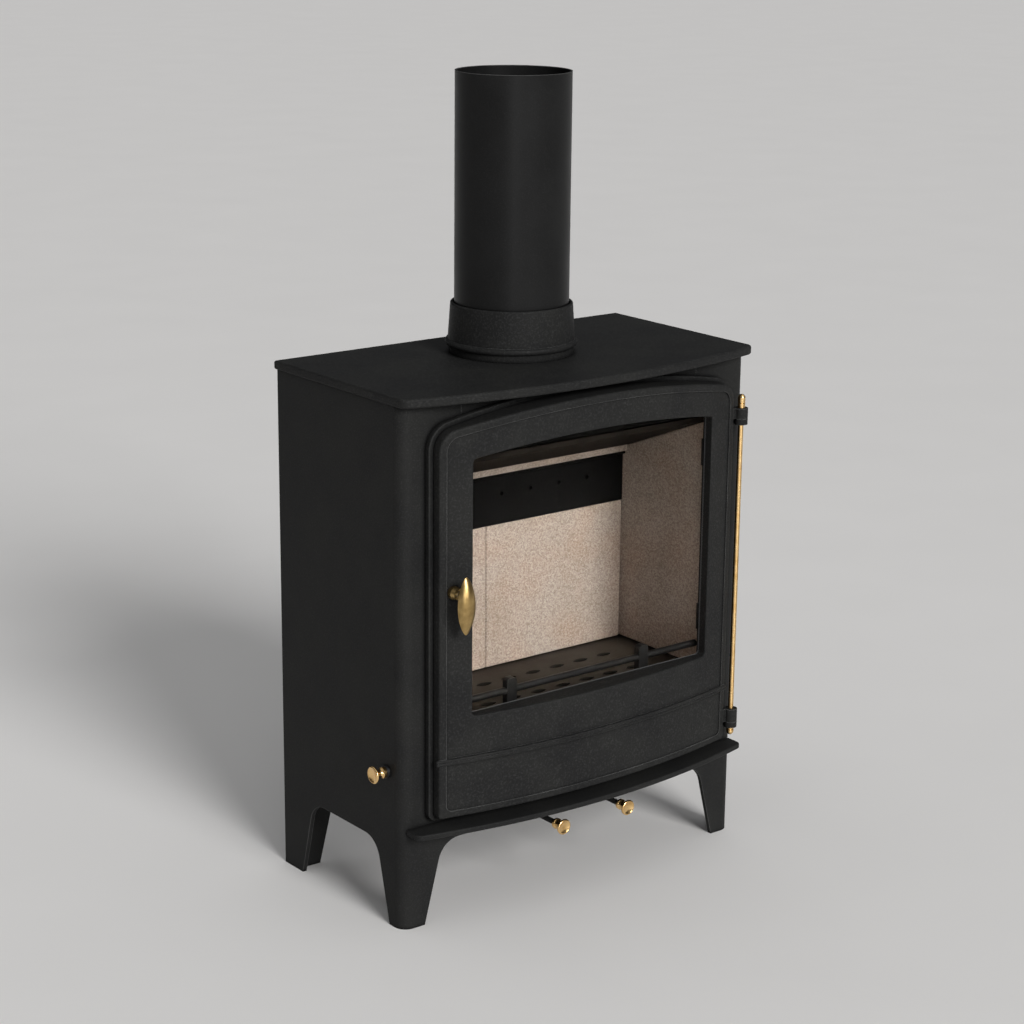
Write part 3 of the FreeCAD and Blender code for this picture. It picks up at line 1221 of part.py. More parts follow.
def firebox_parts():
    """Bricks, baffle, grate, ash pan and the air ways inside."""
    return {
        "left_firebrick": side_brick(),
        "right_firebrick": mirrored(side_brick()),
        "rear_firebrick_left": rear_brick(),
        "rear_firebrick_right": mirrored(rear_brick()),
        "back_liner": back_liner(),
        "baffle_rest": baffle_rest(),
        "baffle_plate": baffle_plate(),
        "airwash_deflector": airwash_deflector(),
        "left_airwash_duct": airwash_duct(),
        "right_airwash_duct": mirrored(airwash_duct()),
        "grate_bed": grate_bed(),
        "left_grate_rail": grate_rail(),
        "right_grate_rail": mirrored(grate_rail()),
        "riddling_grate": riddling_grate(),
        "riddling_arm": riddling_arm(),
        "riddling_rod": riddling_rod(),
        "riddling_bush": riddling_bush(),
        "riddling_knob": riddling_knob(),
        "log_guard": log_guard(),
        "ash_pan": ash_pan(),
        "ash_pan_grip": ash_pan_grip(),
        "air_box": air_box(),
        "valve_guides": valve_guides(),
    }


def slide_parts():
    """The two air slides with their rods and knobs."""
    parts = {}
    for name, side, front in slide_places():
        parts[name + "_slide"] = air_slide(side, front)
        parts[name + "_rod"] = air_rod(side, front)
        parts[name + "_knob"] = air_knob(side)
    return parts


def door_parts():
    """Door, window, seal and handle."""
    door = door_casting()
    return {
        "door_casting": door,
        "window_glass": window_glass(),
        "glass_gasket": glass_gasket(),
        "door_rope_seal": door_rope_seal(),
        "glass_clips": glass_clips(),
        "clip_screws": clip_screws(),
        "handle_rose": handle_rose(door),
        "handle_leaf": handle_leaf(),
        "handle_spindle": handle_spindle(),
        "latch_finger": latch_finger(),
    }


def main():
    """Build every piece and write it to its own file."""
    os.makedirs("parts", exist_ok=True)
    parts = {}
    for group in (shell_parts(), firebox_parts(), slide_parts(), door_parts()):
        parts.update(group)
    for name, shape in parts.items():
        shape.exportStep(os.path.join("parts", name + ".step"))


main()
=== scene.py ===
import logging
import math
from collections.abc import Mapping
from dataclasses import dataclass, field
from enum import Enum

import bmesh
import bpy
import numpy as np
from bpy.types import Material, Node, NodeSocket, NodeTree, Object, World
from mathutils import Matrix, Vector


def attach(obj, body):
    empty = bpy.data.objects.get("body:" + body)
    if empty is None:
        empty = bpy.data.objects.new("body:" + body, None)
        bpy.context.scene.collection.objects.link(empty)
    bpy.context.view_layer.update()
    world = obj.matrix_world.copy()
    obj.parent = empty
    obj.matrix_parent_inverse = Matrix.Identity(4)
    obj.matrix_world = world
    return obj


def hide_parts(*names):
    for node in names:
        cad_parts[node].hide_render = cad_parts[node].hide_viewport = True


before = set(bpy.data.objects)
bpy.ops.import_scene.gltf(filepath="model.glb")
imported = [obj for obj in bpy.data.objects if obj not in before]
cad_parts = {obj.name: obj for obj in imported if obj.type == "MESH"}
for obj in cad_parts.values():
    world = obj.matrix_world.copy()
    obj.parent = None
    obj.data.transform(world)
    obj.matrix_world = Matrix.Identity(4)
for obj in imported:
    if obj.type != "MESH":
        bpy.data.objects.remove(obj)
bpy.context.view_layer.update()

LOG = logging.getLogger("stove")

# Sizes are written in millimetres, and Blender works in metres.
MM = 0.001
# Points of a new mesh that are nearer to each other than this become one.
MERGE_GAP = 0.005
# Radians that a wave texture runs through per metre at a scale of one.
WAVE_RATE = 20.0
# Values between which nearly all of a noise texture lies.
NOISE_BAND = (0.3, 0.7)
# Rays that a bevel or an occlusion node sends out.
RAYS = 4
# Inputs of a range node: the value, the band that it is read from and the span that it gives.
RANGE_INPUTS = ("Value", "From Min", "From Max", "To Min", "To Max")
# Sockets of a colour mix by number, because its float and vector sockets share their names.
MIX_SHARE, MIX_UNDER, MIX_OVER, MIX_RESULT = 0, 6, 7, 2

Span = tuple[float, float]
Inputs = Mapping[str | int, object]


class Kind(Enum):
    """Kinds of shader node that the finishes and the world are drawn with."""

    BACKGROUND = "ShaderNodeBackground"
    BEVEL = "ShaderNodeBevel"
    BUMP = "ShaderNodeBump"
    CELLS = "ShaderNodeTexVoronoi"
    GEOMETRY = "ShaderNodeNewGeometry"
    MAPPING = "ShaderNodeMapping"
    MATHS = "ShaderNodeMath"
    MIX = "ShaderNodeMix"
    NOISE = "ShaderNodeTexNoise"
    OCCLUSION = "ShaderNodeAmbientOcclusion"
    PARTS = "ShaderNodeSeparateXYZ"
    PLACE = "ShaderNodeTexCoord"
    RANGE = "ShaderNodeMapRange"
    SHADER = "ShaderNodeBsdfPrincipled"
    SURFACE_OUT = "ShaderNodeOutputMaterial"
    VECTOR_MATHS = "ShaderNodeVectorMath"
    WAVE = "ShaderNodeTexWave"
    WORLD_OUT = "ShaderNodeOutputWorld"


class Axis(Enum):
    """Axis that a turned piece was cut about."""

    X = "X"
    Y = "Y"
    Z = "Z"


class Lamp(Enum):
    """Kinds of studio light: an even one from far off, and a square panel near by."""

    FAR = "SUN"
    PANEL = "AREA"


class Body(Enum):
    """Bodies of the stove that new pieces ride on."""

    SHELL = "stove_body"
    DOOR = "door"


def hex_linear(code: str) -> tuple[float, float, float, float]:
    """Turn an sRGB hex colour into the linear colour that shaders take, by the sRGB curve.

    Args:
        code: Colour written as six hex digits after a hash sign.

    Returns:
        Linear red, green, blue and an alpha of 1.
    """
    srgb = np.array([int(code[k:k + 2], 16) for k in (1, 3, 5)]) / 255.0
    linear = np.where(srgb <= 0.04045, srgb / 12.92, ((srgb + 0.055) / 1.055) ** 2.4)
    return (*linear.tolist(), 1.0)


def per_mm(size: float) -> float:
    """Texture scale at which a pattern repeats about once in a size in millimetres."""
    return 1.0 / (size * MM)


def add_node(
    tree: NodeTree, kind: Kind, inputs: Inputs | None = None, **settings: object
) -> Node:
    """Add a node with its settings, its plain values and its links.

    Args:
        tree: Node tree that gets the node.
        kind: Kind of node.
        inputs: Value or feeding socket for each input, by name or number.
        settings: Attributes of the node itself.

    Returns:
        The new node.
    """
    made = tree.nodes.new(kind.value)
    for name, value in settings.items():
        setattr(made, name, value)
    for key, value in (inputs or {}).items():
        if isinstance(value, NodeSocket):
            tree.links.new(value, made.inputs[key])
        else:
            made.inputs[key].default_value = value
    return made


def toned(
    tree: NodeTree,
    pattern: NodeSocket,
    band: Span,
    under: str | NodeSocket,
    over: str | NodeSocket,
    most: float = 1.0,
) -> NodeSocket:
    """Turn one colour into another as a pattern goes from one end of a band to the other.

    Args:
        tree: Node tree that gets the nodes.
        pattern: The pattern's value.
        band: Values at which the change begins and ends.
        under: First colour, as hex digits or as a socket.
        over: Second colour, as hex digits or as a socket.
        most: Share of the second colour at the band's end.

    Returns:
        The colour between the two.
    """
    share = add_node(tree, Kind.RANGE, dict(zip(RANGE_INPUTS, (pattern, *band, 0.0, most))))
    first, second = (hex_linear(tone) if isinstance(tone, str) else tone for tone in (under, over))
    mix = add_node(
        tree,
        Kind.MIX,
        {MIX_SHARE: share.outputs[0], MIX_UNDER: first, MIX_OVER: second},
        data_type="RGBA",
    )
    return mix.outputs[MIX_RESULT]


@dataclass(frozen=True)
class Finish:
    """What a surface is made of: a name and the nodes that draw it.

    In every finish the colours are sRGB hex values, and the sizes of patterns, the depths of bumps
    and the reach of edges and corners are in millimetres. A band is the pair of pattern values
    between which an effect grows from none to full. Octaves count a noise's layers, and its gain is
    the weight of each finer layer. Relief is a bump's strength, rough the roughness or its range,
    and sheen the specular level.
    """

    name: str

    def draw(self, tree: NodeTree, place: NodeSocket) -> Inputs:
        """Add the nodes of the finish's patterns.

        Args:
            tree: The material's node tree.
            place: Object coordinates in metres.

        Returns:
            Value or socket for each input of the shader.
        """
        raise NotImplementedError

    def material(self) -> Material:
        """Make the material once and give the same one after that.

        Returns:
            The material of this finish.
        """
        made = bpy.data.materials.get(self.name)
        if made is None:
            made = bpy.data.materials.new(self.name)
            made.use_nodes = True
            tree = made.node_tree
            tree.nodes.clear()
            place = add_node(tree, Kind.PLACE).outputs["Object"]
            shader = add_node(tree, Kind.SHADER, self.draw(tree, place))
            add_node(tree, Kind.SURFACE_OUT, {"Surface": shader.outputs[0]})
        return made


@dataclass(frozen=True)
class BlackPaint(Finish):
    """Sprayed heat-resistant paint: soot black and matt, faintly cloudy, with a sandy skin whose
    grain comes from the metal below, a painted highlight along the edges that stand out, fainter
    where the clouds are dark, and painted shade that makes the corners blackest."""

    colour: str = "#202020"
    cloud: str = "#262625"
    # Colour of the painted highlight on edges, and of the lighter flecks on the grain.
    highlight_and_fleck: str = "#727271"
    # Colour of the painted shade in corners and creases.
    corner: str = "#111111"
    clouds: float = 60.0
    cloud_octaves: float = 4.0
    cloud_band: Span = (0.35, 0.65)
    grain: float = 1.6
    grain_octaves: float = 3.0
    grain_gain: float = 0.65
    depth: float = 0.14
    relief: float = 0.8
    fleck: float = 0.08
    fleck_band: Span = (0.5, 0.75)
    edge: float = 1.1
    edge_highlight_band: Span = (0.99, 0.80)
    highlight_cloud_band: Span = (0.3, 0.6)
    highlight_least: float = 0.45
    # Distance within which the occlusion node finds the corners that get painted shade.
    reach: float = 5.0
    painted_shade_band: Span = (0.55, 0.9)
    rough: Span = (0.46, 0.54)
    sheen: float = 0.06

    def draw(self, tree: NodeTree, place: NodeSocket) -> Inputs:
        """Cloudy colour, painted edge highlights, painted corner shade, bumpy grain, and roughness
        by the clouds.

        Args:
            tree: The material's node tree.
            place: Object coordinates in metres.

        Returns:
            Value or socket for each input of the shader.
        """
        cloud = add_node(
            tree,
            Kind.NOISE,
            {"Vector": place, "Scale": per_mm(self.clouds), "Detail": self.cloud_octaves},
        ).outputs[0]
        # Real paint grain is about a quarter of a millimetre, which no render here could show.
        grain = add_node(
            tree,
            Kind.NOISE,
            {
                "Vector": place,
                "Scale": per_mm(self.grain),
                "Detail": self.grain_octaves,
                "Roughness": self.grain_gain,
            },
        ).outputs[0]
        soft = add_node(tree, Kind.BEVEL, {"Radius": self.edge * MM}, samples=RAYS).outputs[0]
        tone = toned(tree, cloud, self.cloud_band, self.colour, self.cloud)
        # Painted highlight along the edges, mixed with the grain's lighter flecks.
        highlighted = add_node(
            tree,
            Kind.MIX,
            {
                MIX_SHARE: self.highlight_and_fleck_share(tree, cloud, grain, soft),
                MIX_UNDER: tone,
                MIX_OVER: hex_linear(self.highlight_and_fleck),
            },
            data_type="RGBA",
        ).outputs[MIX_RESULT]
        # Painted shade: the occlusion node darkens corners, creases and slots towards the corner
        # colour.
        openness_for_painted_shade = add_node(
            tree, Kind.OCCLUSION, {"Distance": self.reach * MM}, samples=RAYS
        ).outputs["AO"]
        rough = add_node(
            tree, Kind.RANGE, dict(zip(RANGE_INPUTS, (cloud, *NOISE_BAND, *self.rough)))
        )
        bump = add_node(
            tree,
            Kind.BUMP,
            {
                "Height": grain,
                "Distance": self.depth * MM,
                "Strength": self.relief,
                "Normal": soft,
            },
        )
        return {
            "Base Color": toned(tree, openness_for_painted_shade, self.painted_shade_band, self.corner, highlighted),
            "Roughness": rough.outputs[0],
            "Normal": bump.outputs[0],
            "Specular IOR Level": self.sheen,
        }

    def highlight_and_fleck_share(
        self, tree: NodeTree, cloud: NodeSocket, grain: NodeSocket, soft: NodeSocket
    ) -> NodeSocket:
        """Share of the lighter colour: a painted edge highlight, and flecks on the grain.

        The painted highlight grows where the softened normal turns away from the true one, which is
        at an edge, by less where the clouds are dark, and the crests of the grain have at least a
        fleck of the lighter colour.

        Args:
            tree: The material's node tree.
            cloud: Value of the clouds.
            grain: Value of the grain.
            soft: Normal with its edges rounded.

        Returns:
            Share of the lighter colour: the painted edge highlight and the grain's flecks.
        """
        true = add_node(tree, Kind.GEOMETRY).outputs["Normal"]
        turn = add_node(tree, Kind.VECTOR_MATHS, {0: soft, 1: true}, operation="DOT_PRODUCT")
        painted_edge_highlight = add_node(
            tree, Kind.RANGE, dict(zip(RANGE_INPUTS, (turn.outputs["Value"], *self.edge_highlight_band)))
        )
        highlight_cloud_share = add_node(
            tree, Kind.RANGE, dict(zip(RANGE_INPUTS, (cloud, *self.highlight_cloud_band, self.highlight_least)))
        )
        cloudy_edge_highlight = add_node(
            tree, Kind.MATHS, {0: painted_edge_highlight.outputs[0], 1: highlight_cloud_share.outputs[0]}, operation="MULTIPLY"
        )
        fleck = add_node(
            tree, Kind.RANGE, dict(zip(RANGE_INPUTS, (grain, *self.fleck_band, 0.0, self.fleck)))
        )
        either = {0: cloudy_edge_highlight.outputs[0], 1: fleck.outputs[0]}
        return add_node(tree, Kind.MATHS, either, operation="MAXIMUM").outputs[0]


@dataclass(frozen=True)
class TurnedBrass(Finish):
    """Brass turned on a lathe and lacquered: warm, bright, with faint rings left by the tool, which
    draw a highlight out along the piece, and a slight browning in patches."""

    colour: str = "#ecc78c"
    brown: str = "#cb9e5c"
    axis: Axis = Axis.Y
    ring: float = 1.6
    wobble: float = 0.3
    ring_octaves: float = 1.0
    depth: float = 0.02
    relief: float = 0.5
    patch: float = 9.0
    patch_octaves: float = 3.0
    brown_band: Span = (0.45, 0.8)
    rough: Span = (0.16, 0.27)
    streak: float = 0.0
    streak_turn: float = 0.25

    def draw(self, tree: NodeTree, place: NodeSocket) -> Inputs:
        """Tool rings along the axis as bump, patches of browning as colour and roughness.

        Args:
            tree: The material's node tree.
            place: Object coordinates in metres.

        Returns:
            Value or socket for each input of the shader.
        """
        # The tool's feed is finer than this; the rings are widened until they show.
        rings = add_node(
            tree,
            Kind.WAVE,
            {
                "Vector": place,
                "Scale": per_mm(self.ring) * math.tau / WAVE_RATE,
                "Distortion": self.wobble,
                "Detail": self.ring_octaves,
            },
            bands_direction=self.axis.value,
        )
        patch = add_node(
            tree,
            Kind.NOISE,
            {"Vector": place, "Scale": per_mm(self.patch), "Detail": self.patch_octaves},
        ).outputs[0]
        rough = add_node(
            tree, Kind.RANGE, dict(zip(RANGE_INPUTS, (patch, *NOISE_BAND, *self.rough)))
        )
        bump = add_node(
            tree,
            Kind.BUMP,
            {"Height": rings.outputs[1], "Distance": self.depth * MM, "Strength": self.relief},
        )
        return {
            "Base Color": toned(tree, patch, self.brown_band, self.colour, self.brown),
            "Metallic": 1.0,
            "Roughness": rough.outputs[0],
            "Normal": bump.outputs[0],
            "Anisotropic": self.streak,
            "Anisotropic Rotation": self.streak_turn,
        }


@dataclass(frozen=True)
class AgedBrass(Finish):
    """Cast brass with an antique stain, rubbed back by hand: olive gold, satin, darker in soft
    patches, with fine lengthwise polishing lines."""

    colour: str = "#bda06b"
    stain: str = "#80693f"
    patch: float = 14.0
    patch_octaves: float = 5.0
    stain_band: Span = (0.4, 0.75)
    line: float = 0.7
    line_octaves: float = 2.0
    stretch: tuple[float, float, float] = (1.0, 1.0, 0.06)
    depth: float = 0.03
    relief: float = 0.5
    rough: Span = (0.28, 0.44)

    def draw(self, tree: NodeTree, place: NodeSocket) -> Inputs:
        """Stain patches as colour, noise stretched along the piece as lines in bump and roughness.

        Args:
            tree: The material's node tree.
            place: Object coordinates in metres.

        Returns:
            Value or socket for each input of the shader.
        """
        patch = add_node(
            tree,
            Kind.NOISE,
            {"Vector": place, "Scale": per_mm(self.patch), "Detail": self.patch_octaves},
        ).outputs[0]
        drawn = add_node(tree, Kind.MAPPING, {"Vector": place, "Scale": self.stretch})
        # Polishing lines are a tenth of this wide; they are drawn as coarse as they need to show.
        lines = add_node(
            tree,
            Kind.NOISE,
            {
                "Vector": drawn.outputs[0],
                "Scale": per_mm(self.line),
                "Detail": self.line_octaves,
            },
        ).outputs[0]
        rough = add_node(
            tree, Kind.RANGE, dict(zip(RANGE_INPUTS, (lines, *NOISE_BAND, *self.rough)))
        )
        bump = add_node(
            tree,
            Kind.BUMP,
            {"Height": lines, "Distance": self.depth * MM, "Strength": self.relief},
        )
        return {
            "Base Color": toned(tree, patch, self.stain_band, self.colour, self.stain),
            "Metallic": 1.0,
            "Roughness": rough.outputs[0],
            "Normal": bump.outputs[0],
        }


@dataclass(frozen=True)
class PressedBrick(Finish):
    """Pressed vermiculite firebrick: dry and chalky, a pinkish beige packed with pale and brown
    flakes of a millimetre or two, and a pitted sandy face."""

    colour: str = "#9a8e86"
    pink: str = "#9c877a"
    flake: str = "#b3a8a0"
    speck: str = "#74665e"
    clouds: float = 60.0
    cloud_octaves: float = 3.0
    flakes: float = 1.5
    pink_band: Span = (0.4, 0.7)
    flake_band: Span = (0.5, 1.0)
    speck_band: Span = (0.5, 0.0)
    share: float = 0.8
    depth: float = 0.2
    relief: float = 0.5
    rough: float = 0.92
    sheen: float = 0.25

    def draw(self, tree: NodeTree, place: NodeSocket) -> Inputs:
        """Clouds under cells that each have their own shade, with the gaps of the cells as pits.

        Args:
            tree: The material's node tree.
            place: Object coordinates in metres.

        Returns:
            Value or socket for each input of the shader.
        """
        cloud = add_node(
            tree,
            Kind.NOISE,
            {"Vector": place, "Scale": per_mm(self.clouds), "Detail": self.cloud_octaves},
        )
        cells = add_node(tree, Kind.CELLS, {"Vector": place, "Scale": per_mm(self.flakes)})
        shade = cells.outputs["Color"]
        shown: str | NodeSocket = self.colour
        for pattern, band, colour in (
            (cloud.outputs[0], self.pink_band, self.pink),
            (shade, self.flake_band, self.flake),
            (shade, self.speck_band, self.speck),
        ):
            shown = toned(tree, pattern, band, shown, colour, self.share)
        bump = add_node(
            tree,
            Kind.BUMP,
            {
                "Height": cells.outputs["Distance"],
                "Distance": self.depth * MM,
                "Strength": self.relief,
            },
            invert=True,
        )
        return {
            "Base Color": shown,
            "Roughness": self.rough,
            "Normal": bump.outputs[0],
            "Specular IOR Level": self.sheen,
        }


@dataclass(frozen=True)
class BareMetal(Finish):
    """Iron or steel without paint: grey and directional where rolled, grainy where cast, with heat
    or handling stains."""

    colour: str = "#4a4a4b"
    stain: str = "#332f2c"
    stains: float = 35.0
    stain_octaves: float = 5.0
    stain_band: Span = (0.4, 0.7)
    metallic: float = 0.85
    grain: float = 1.2
    grain_octaves: float = 3.0
    grain_gain: float = 0.6
    stretch: tuple[float, float, float] = (1.0, 1.0, 1.0)
    depth: float = 0.08
    relief: float = 0.6
    edge: float = 0.6
    rough: Span = (0.4, 0.6)
    sheen: float = 0.5

    def draw(self, tree: NodeTree, place: NodeSocket) -> Inputs:
        """Stains as colour, and a grain that may be stretched along the rolling direction.

        Args:
            tree: The material's node tree.
            place: Object coordinates in metres.

        Returns:
            Value or socket for each input of the shader.
        """
        stain = add_node(
            tree,
            Kind.NOISE,
            {"Vector": place, "Scale": per_mm(self.stains), "Detail": self.stain_octaves},
        ).outputs[0]
        drawn = add_node(tree, Kind.MAPPING, {"Vector": place, "Scale": self.stretch})
        # Rolled and cast grain is finer than this, and is drawn as coarse as it needs to show.
        grain = add_node(
            tree,
            Kind.NOISE,
            {
                "Vector": drawn.outputs[0],
                "Scale": per_mm(self.grain),
                "Detail": self.grain_octaves,
                "Roughness": self.grain_gain,
            },
        ).outputs[0]
        rough = add_node(
            tree, Kind.RANGE, dict(zip(RANGE_INPUTS, (grain, *NOISE_BAND, *self.rough)))
        )
        soft = add_node(tree, Kind.BEVEL, {"Radius": self.edge * MM}, samples=RAYS)
        bump = add_node(
            tree,
            Kind.BUMP,
            {
                "Height": grain,
                "Distance": self.depth * MM,
                "Strength": self.relief,
                "Normal": soft.outputs[0],
            },
        )
        return {
            "Base Color": toned(tree, stain, self.stain_band, self.colour, self.stain),
            "Metallic": self.metallic,
            "Roughness": rough.outputs[0],
            "Normal": bump.outputs[0],
            "Specular IOR Level": self.sheen,
        }


@dataclass(frozen=True)
class CeramicGlass(Finish):
    """Flat glass-ceramic: clear, a touch amber, with a faint dry film left by a cloth in broad
    smears.

    The index is that of air: the studio's floor is far brighter than a room, and at the real index
    its mirror image would veil the firebox and make it grainy.
    """

    tint: str = "#f4f2ed"
    film: str = "#e9e6de"
    smear: float = 90.0
    smear_octaves: float = 2.0
    film_band: Span = (0.4, 0.7)
    rough: float = 0.0
    index: float = 1.0

    def draw(self, tree: NodeTree, place: NodeSocket) -> Inputs:
        """A clear, smooth, transmitting shader whose tint drifts by a hair across the pane.

        Args:
            tree: The material's node tree.
            place: Object coordinates in metres.

        Returns:
            Value or socket for each input of the shader.
        """
        smear = add_node(
            tree,
            Kind.NOISE,
            {"Vector": place, "Scale": per_mm(self.smear), "Detail": self.smear_octaves},
        )
        return {
            "Base Color": toned(tree, smear.outputs[0], self.film_band, self.tint, self.film),
            "Roughness": self.rough,
            "IOR": self.index,
            "Transmission Weight": 1.0,
        }


@dataclass(frozen=True)
class GlassRope(Finish):
    """Knitted glass-fibre rope and tape dyed with graphite: charcoal, dull, and hairy at a small
    scale."""

    colour: str = "#2a2a2b"
    fibre: str = "#4a4a4c"
    hair: float = 0.8
    hair_octaves: float = 4.0
    hair_gain: float = 0.7
    depth: float = 0.2
    relief: float = 0.6
    rough: float = 0.95
    fuzz: float = 0.3

    def draw(self, tree: NodeTree, place: NodeSocket) -> Inputs:
        """Fibre noise as colour and bump on top of the modelled plaits.

        Args:
            tree: The material's node tree.
            place: Object coordinates in metres.

        Returns:
            Value or socket for each input of the shader.
        """
        # Single fibres are far too fine to show, so the noise is as coarse as a few yarns.
        hair = add_node(
            tree,
            Kind.NOISE,
            {
                "Vector": place,
                "Scale": per_mm(self.hair),
                "Detail": self.hair_octaves,
                "Roughness": self.hair_gain,
            },
        ).outputs[0]
        tone = add_node(
            tree,
            Kind.MIX,
            {
                MIX_SHARE: hair,
                MIX_UNDER: hex_linear(self.colour),
                MIX_OVER: hex_linear(self.fibre),
            },
            data_type="RGBA",
        )
        bump = add_node(
            tree,
            Kind.BUMP,
            {"Height": hair, "Distance": self.depth * MM, "Strength": self.relief},
        )
        return {
            "Base Color": tone.outputs[MIX_RESULT],
            "Roughness": self.rough,
            "Normal": bump.outputs[0],
            "Sheen Weight": self.fuzz,
        }


@dataclass(frozen=True)
class PaleFloor(Finish):
    """Plain pale studio floor with a barely visible mottle."""

    colour: str = "#eeecea"
    mottle: str = "#e9e7e5"
    blot: float = 240.0
    blot_octaves: float = 3.0
    rough: float = 0.7

    def draw(self, tree: NodeTree, place: NodeSocket) -> Inputs:
        """Two pale tones mixed by a broad noise.

        Args:
            tree: The material's node tree.
            place: Object coordinates in metres.

        Returns:
            Value or socket for each input of the shader.
        """
        blot = add_node(
            tree,
            Kind.NOISE,
            {"Vector": place, "Scale": per_mm(self.blot), "Detail": self.blot_octaves},
        )
        tone = add_node(
            tree,
            Kind.MIX,
            {
                MIX_SHARE: blot.outputs[0],
                MIX_UNDER: hex_linear(self.colour),
                MIX_OVER: hex_linear(self.mottle),
            },
            data_type="RGBA",
        )
        return {"Base Color": tone.outputs[MIX_RESULT], "Roughness": self.rough}


# Even and fine on the folded sheet.
SHEET_PAINT = BlackPaint("sprayed_paint_on_steel_sheet")
# Sandy, because the skin of the casting shows through.
CAST_PAINT = BlackPaint("sprayed_paint_on_cast_iron", grain=2.2, depth=0.42, fleck=0.12)
# Smoother, deeper and a little glossier than the body's.
PIPE_PAINT = BlackPaint(
    "satin_paint_on_flue_pipe",
    colour="#181818",
    cloud="#1c1c1c",
    grain=1.2,
    depth=0.04,
    fleck=0.05,
    rough=(0.36, 0.44),
    sheen=0.1,
)
# Nearly lost in the dark: dead matt, with a painted edge highlight barely lighter than the paint
# and near-black painted shade in the corners.
HEAT_PAINT = BlackPaint(
    "heat_dulled_paint_inside",
    colour="#0d0d0d",
    cloud="#111111",
    highlight_and_fleck="#171717",
    corner="#070707",
    grain=4.0,
    depth=0.02,
    fleck=0.0,
    rough=(0.6, 0.7),
)
# Bright knobs with rings across the axis that each was turned about.
KNOB_BRASS = TurnedBrass("turned_brass_front_to_back", axis=Axis.Y)
RIDDLE_BRASS = TurnedBrass("turned_brass_side_to_side", axis=Axis.X)
# Satin from drawing, with its highlight in one long streak.
ROD_BRASS = TurnedBrass(
    "drawn_brass_upright", axis=Axis.Z, ring=2.5, rough=(0.26, 0.32), streak=0.9
)
HANDLE_BRASS = AgedBrass("antique_cast_brass")
BRICK = PressedBrick("pressed_vermiculite_firebrick")
# Brown-black and dull under the baffle.
BAFFLE_IRON = BareMetal(
    "heat_blackened_cast_iron",
    colour="#26221f",
    stain="#1b1816",
    metallic=0.0,
    grain=2.0,
    depth=0.06,
    rough=(0.6, 0.75),
    sheen=0.06,
)
# Dusty grey-brown on top, with painted shade that turns the slots black and a faint painted
# highlight on their edges.
BED_PAINT = BlackPaint(
    "dry_blacking_on_grate_iron",
    colour="#443f3a",
    cloud="#39342f",
    highlight_and_fleck="#524c46",
    corner="#050505",
    grain=3.0,
    depth=0.05,
    fleck=0.2,
    rough=(0.62, 0.75),
    edge=0.8,
    reach=12.0,
)
# Black with a soft graphite gleam along the bar.
GUARD_IRON = BareMetal(
    "graphite_blacked_cast_iron",
    colour="#121214",
    stain="#0e0e0f",
    metallic=0.0,
    grain=2.0,
    depth=0.04,
    rough=(0.36, 0.46),
    sheen=0.4,
)
# Dark grey with the long faint lines of the rolling mill.
MILL_STEEL = BareMetal(
    "mill_finish_steel_sheet",
    colour="#3c3d3f",
    stain="#2b2a2a",
    stretch=(0.08, 1.0, 1.0),
    rough=(0.42, 0.6),
)
# Pale, slightly yellow and bright, with small cloudy stains.
ZINC_STEEL = BareMetal(
    "zinc_plated_steel",
    colour="#b4b3ad",
    stain="#96938a",
    metallic=1.0,
    depth=0.03,
    stains=9.0,
    rough=(0.26, 0.4),
)
GLASS = CeramicGlass("clear_glass_ceramic")
ROPE = GlassRope("knitted_glass_fibre")
FLOOR = PaleFloor("pale_studio_floor")


def dress(finish: Finish, *names: str) -> None:
    """Give CAD nodes a finish.

    Args:
        finish: Finish that they get.
        names: The nodes' names.
    """
    for name in names:
        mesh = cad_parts[name].data
        mesh.materials.clear()
        mesh.materials.append(finish.material())
        LOG.info("%s dressed in %s", name, finish.name)


def grid_object(
    name: str, points: np.ndarray, closed_u: bool, closed_v: bool, finish: Finish
) -> Object:
    """Make an object from a grid of points, with a quad between each four neighbours.

    Args:
        name: Name of the object.
        points: Grid of places in millimetres, shaped rows by columns by three.
        closed_u: Join the last row to the first.
        closed_v: Join the last column to the first.
        finish: Finish of the whole surface.

    Returns:
        The object, at the origin, with doubled points merged and faces turned outwards.
    """
    rows, columns = points.shape[:2]
    index = np.arange(rows * columns).reshape(rows, columns)
    u = np.arange(rows if closed_u else rows - 1)[:, None]
    v = np.arange(columns if closed_v else columns - 1)[None, :]
    u_next, v_next = (u + 1) % rows, (v + 1) % columns
    corners = [index[u, v], index[u_next, v], index[u_next, v_next], index[u, v_next]]
    quads = np.stack(corners, axis=-1)
    mesh = bpy.data.meshes.new(name)
    mesh.from_pydata((points.reshape(-1, 3) * MM).tolist(), [], quads.reshape(-1, 4).tolist())
    work = bmesh.new()
    work.from_mesh(mesh)
    bmesh.ops.remove_doubles(work, verts=work.verts, dist=MERGE_GAP * MM)
    bmesh.ops.recalc_face_normals(work, faces=work.faces)
    work.to_mesh(mesh)
    work.free()
    mesh.polygons.foreach_set("use_smooth", np.ones(len(mesh.polygons), dtype=bool))
    mesh.materials.append(finish.material())
    made = bpy.data.objects.new(name, mesh)
    bpy.context.scene.collection.objects.link(made)
    return made


def seat(piece: Object, body: Body, slot: str, *replaced: str) -> None:
    """Put a new piece on its body and hide the CAD nodes that it stands for.

    Args:
        piece: The new piece.
        body: Body that it moves with.
        slot: The record's material slot; not used.
        replaced: CAD nodes that it replaces.
    """
    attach(piece, body.value)
    if replaced:
        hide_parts(*replaced)
    LOG.info("%s made, %d faces", piece.name, len(piece.data.polygons))


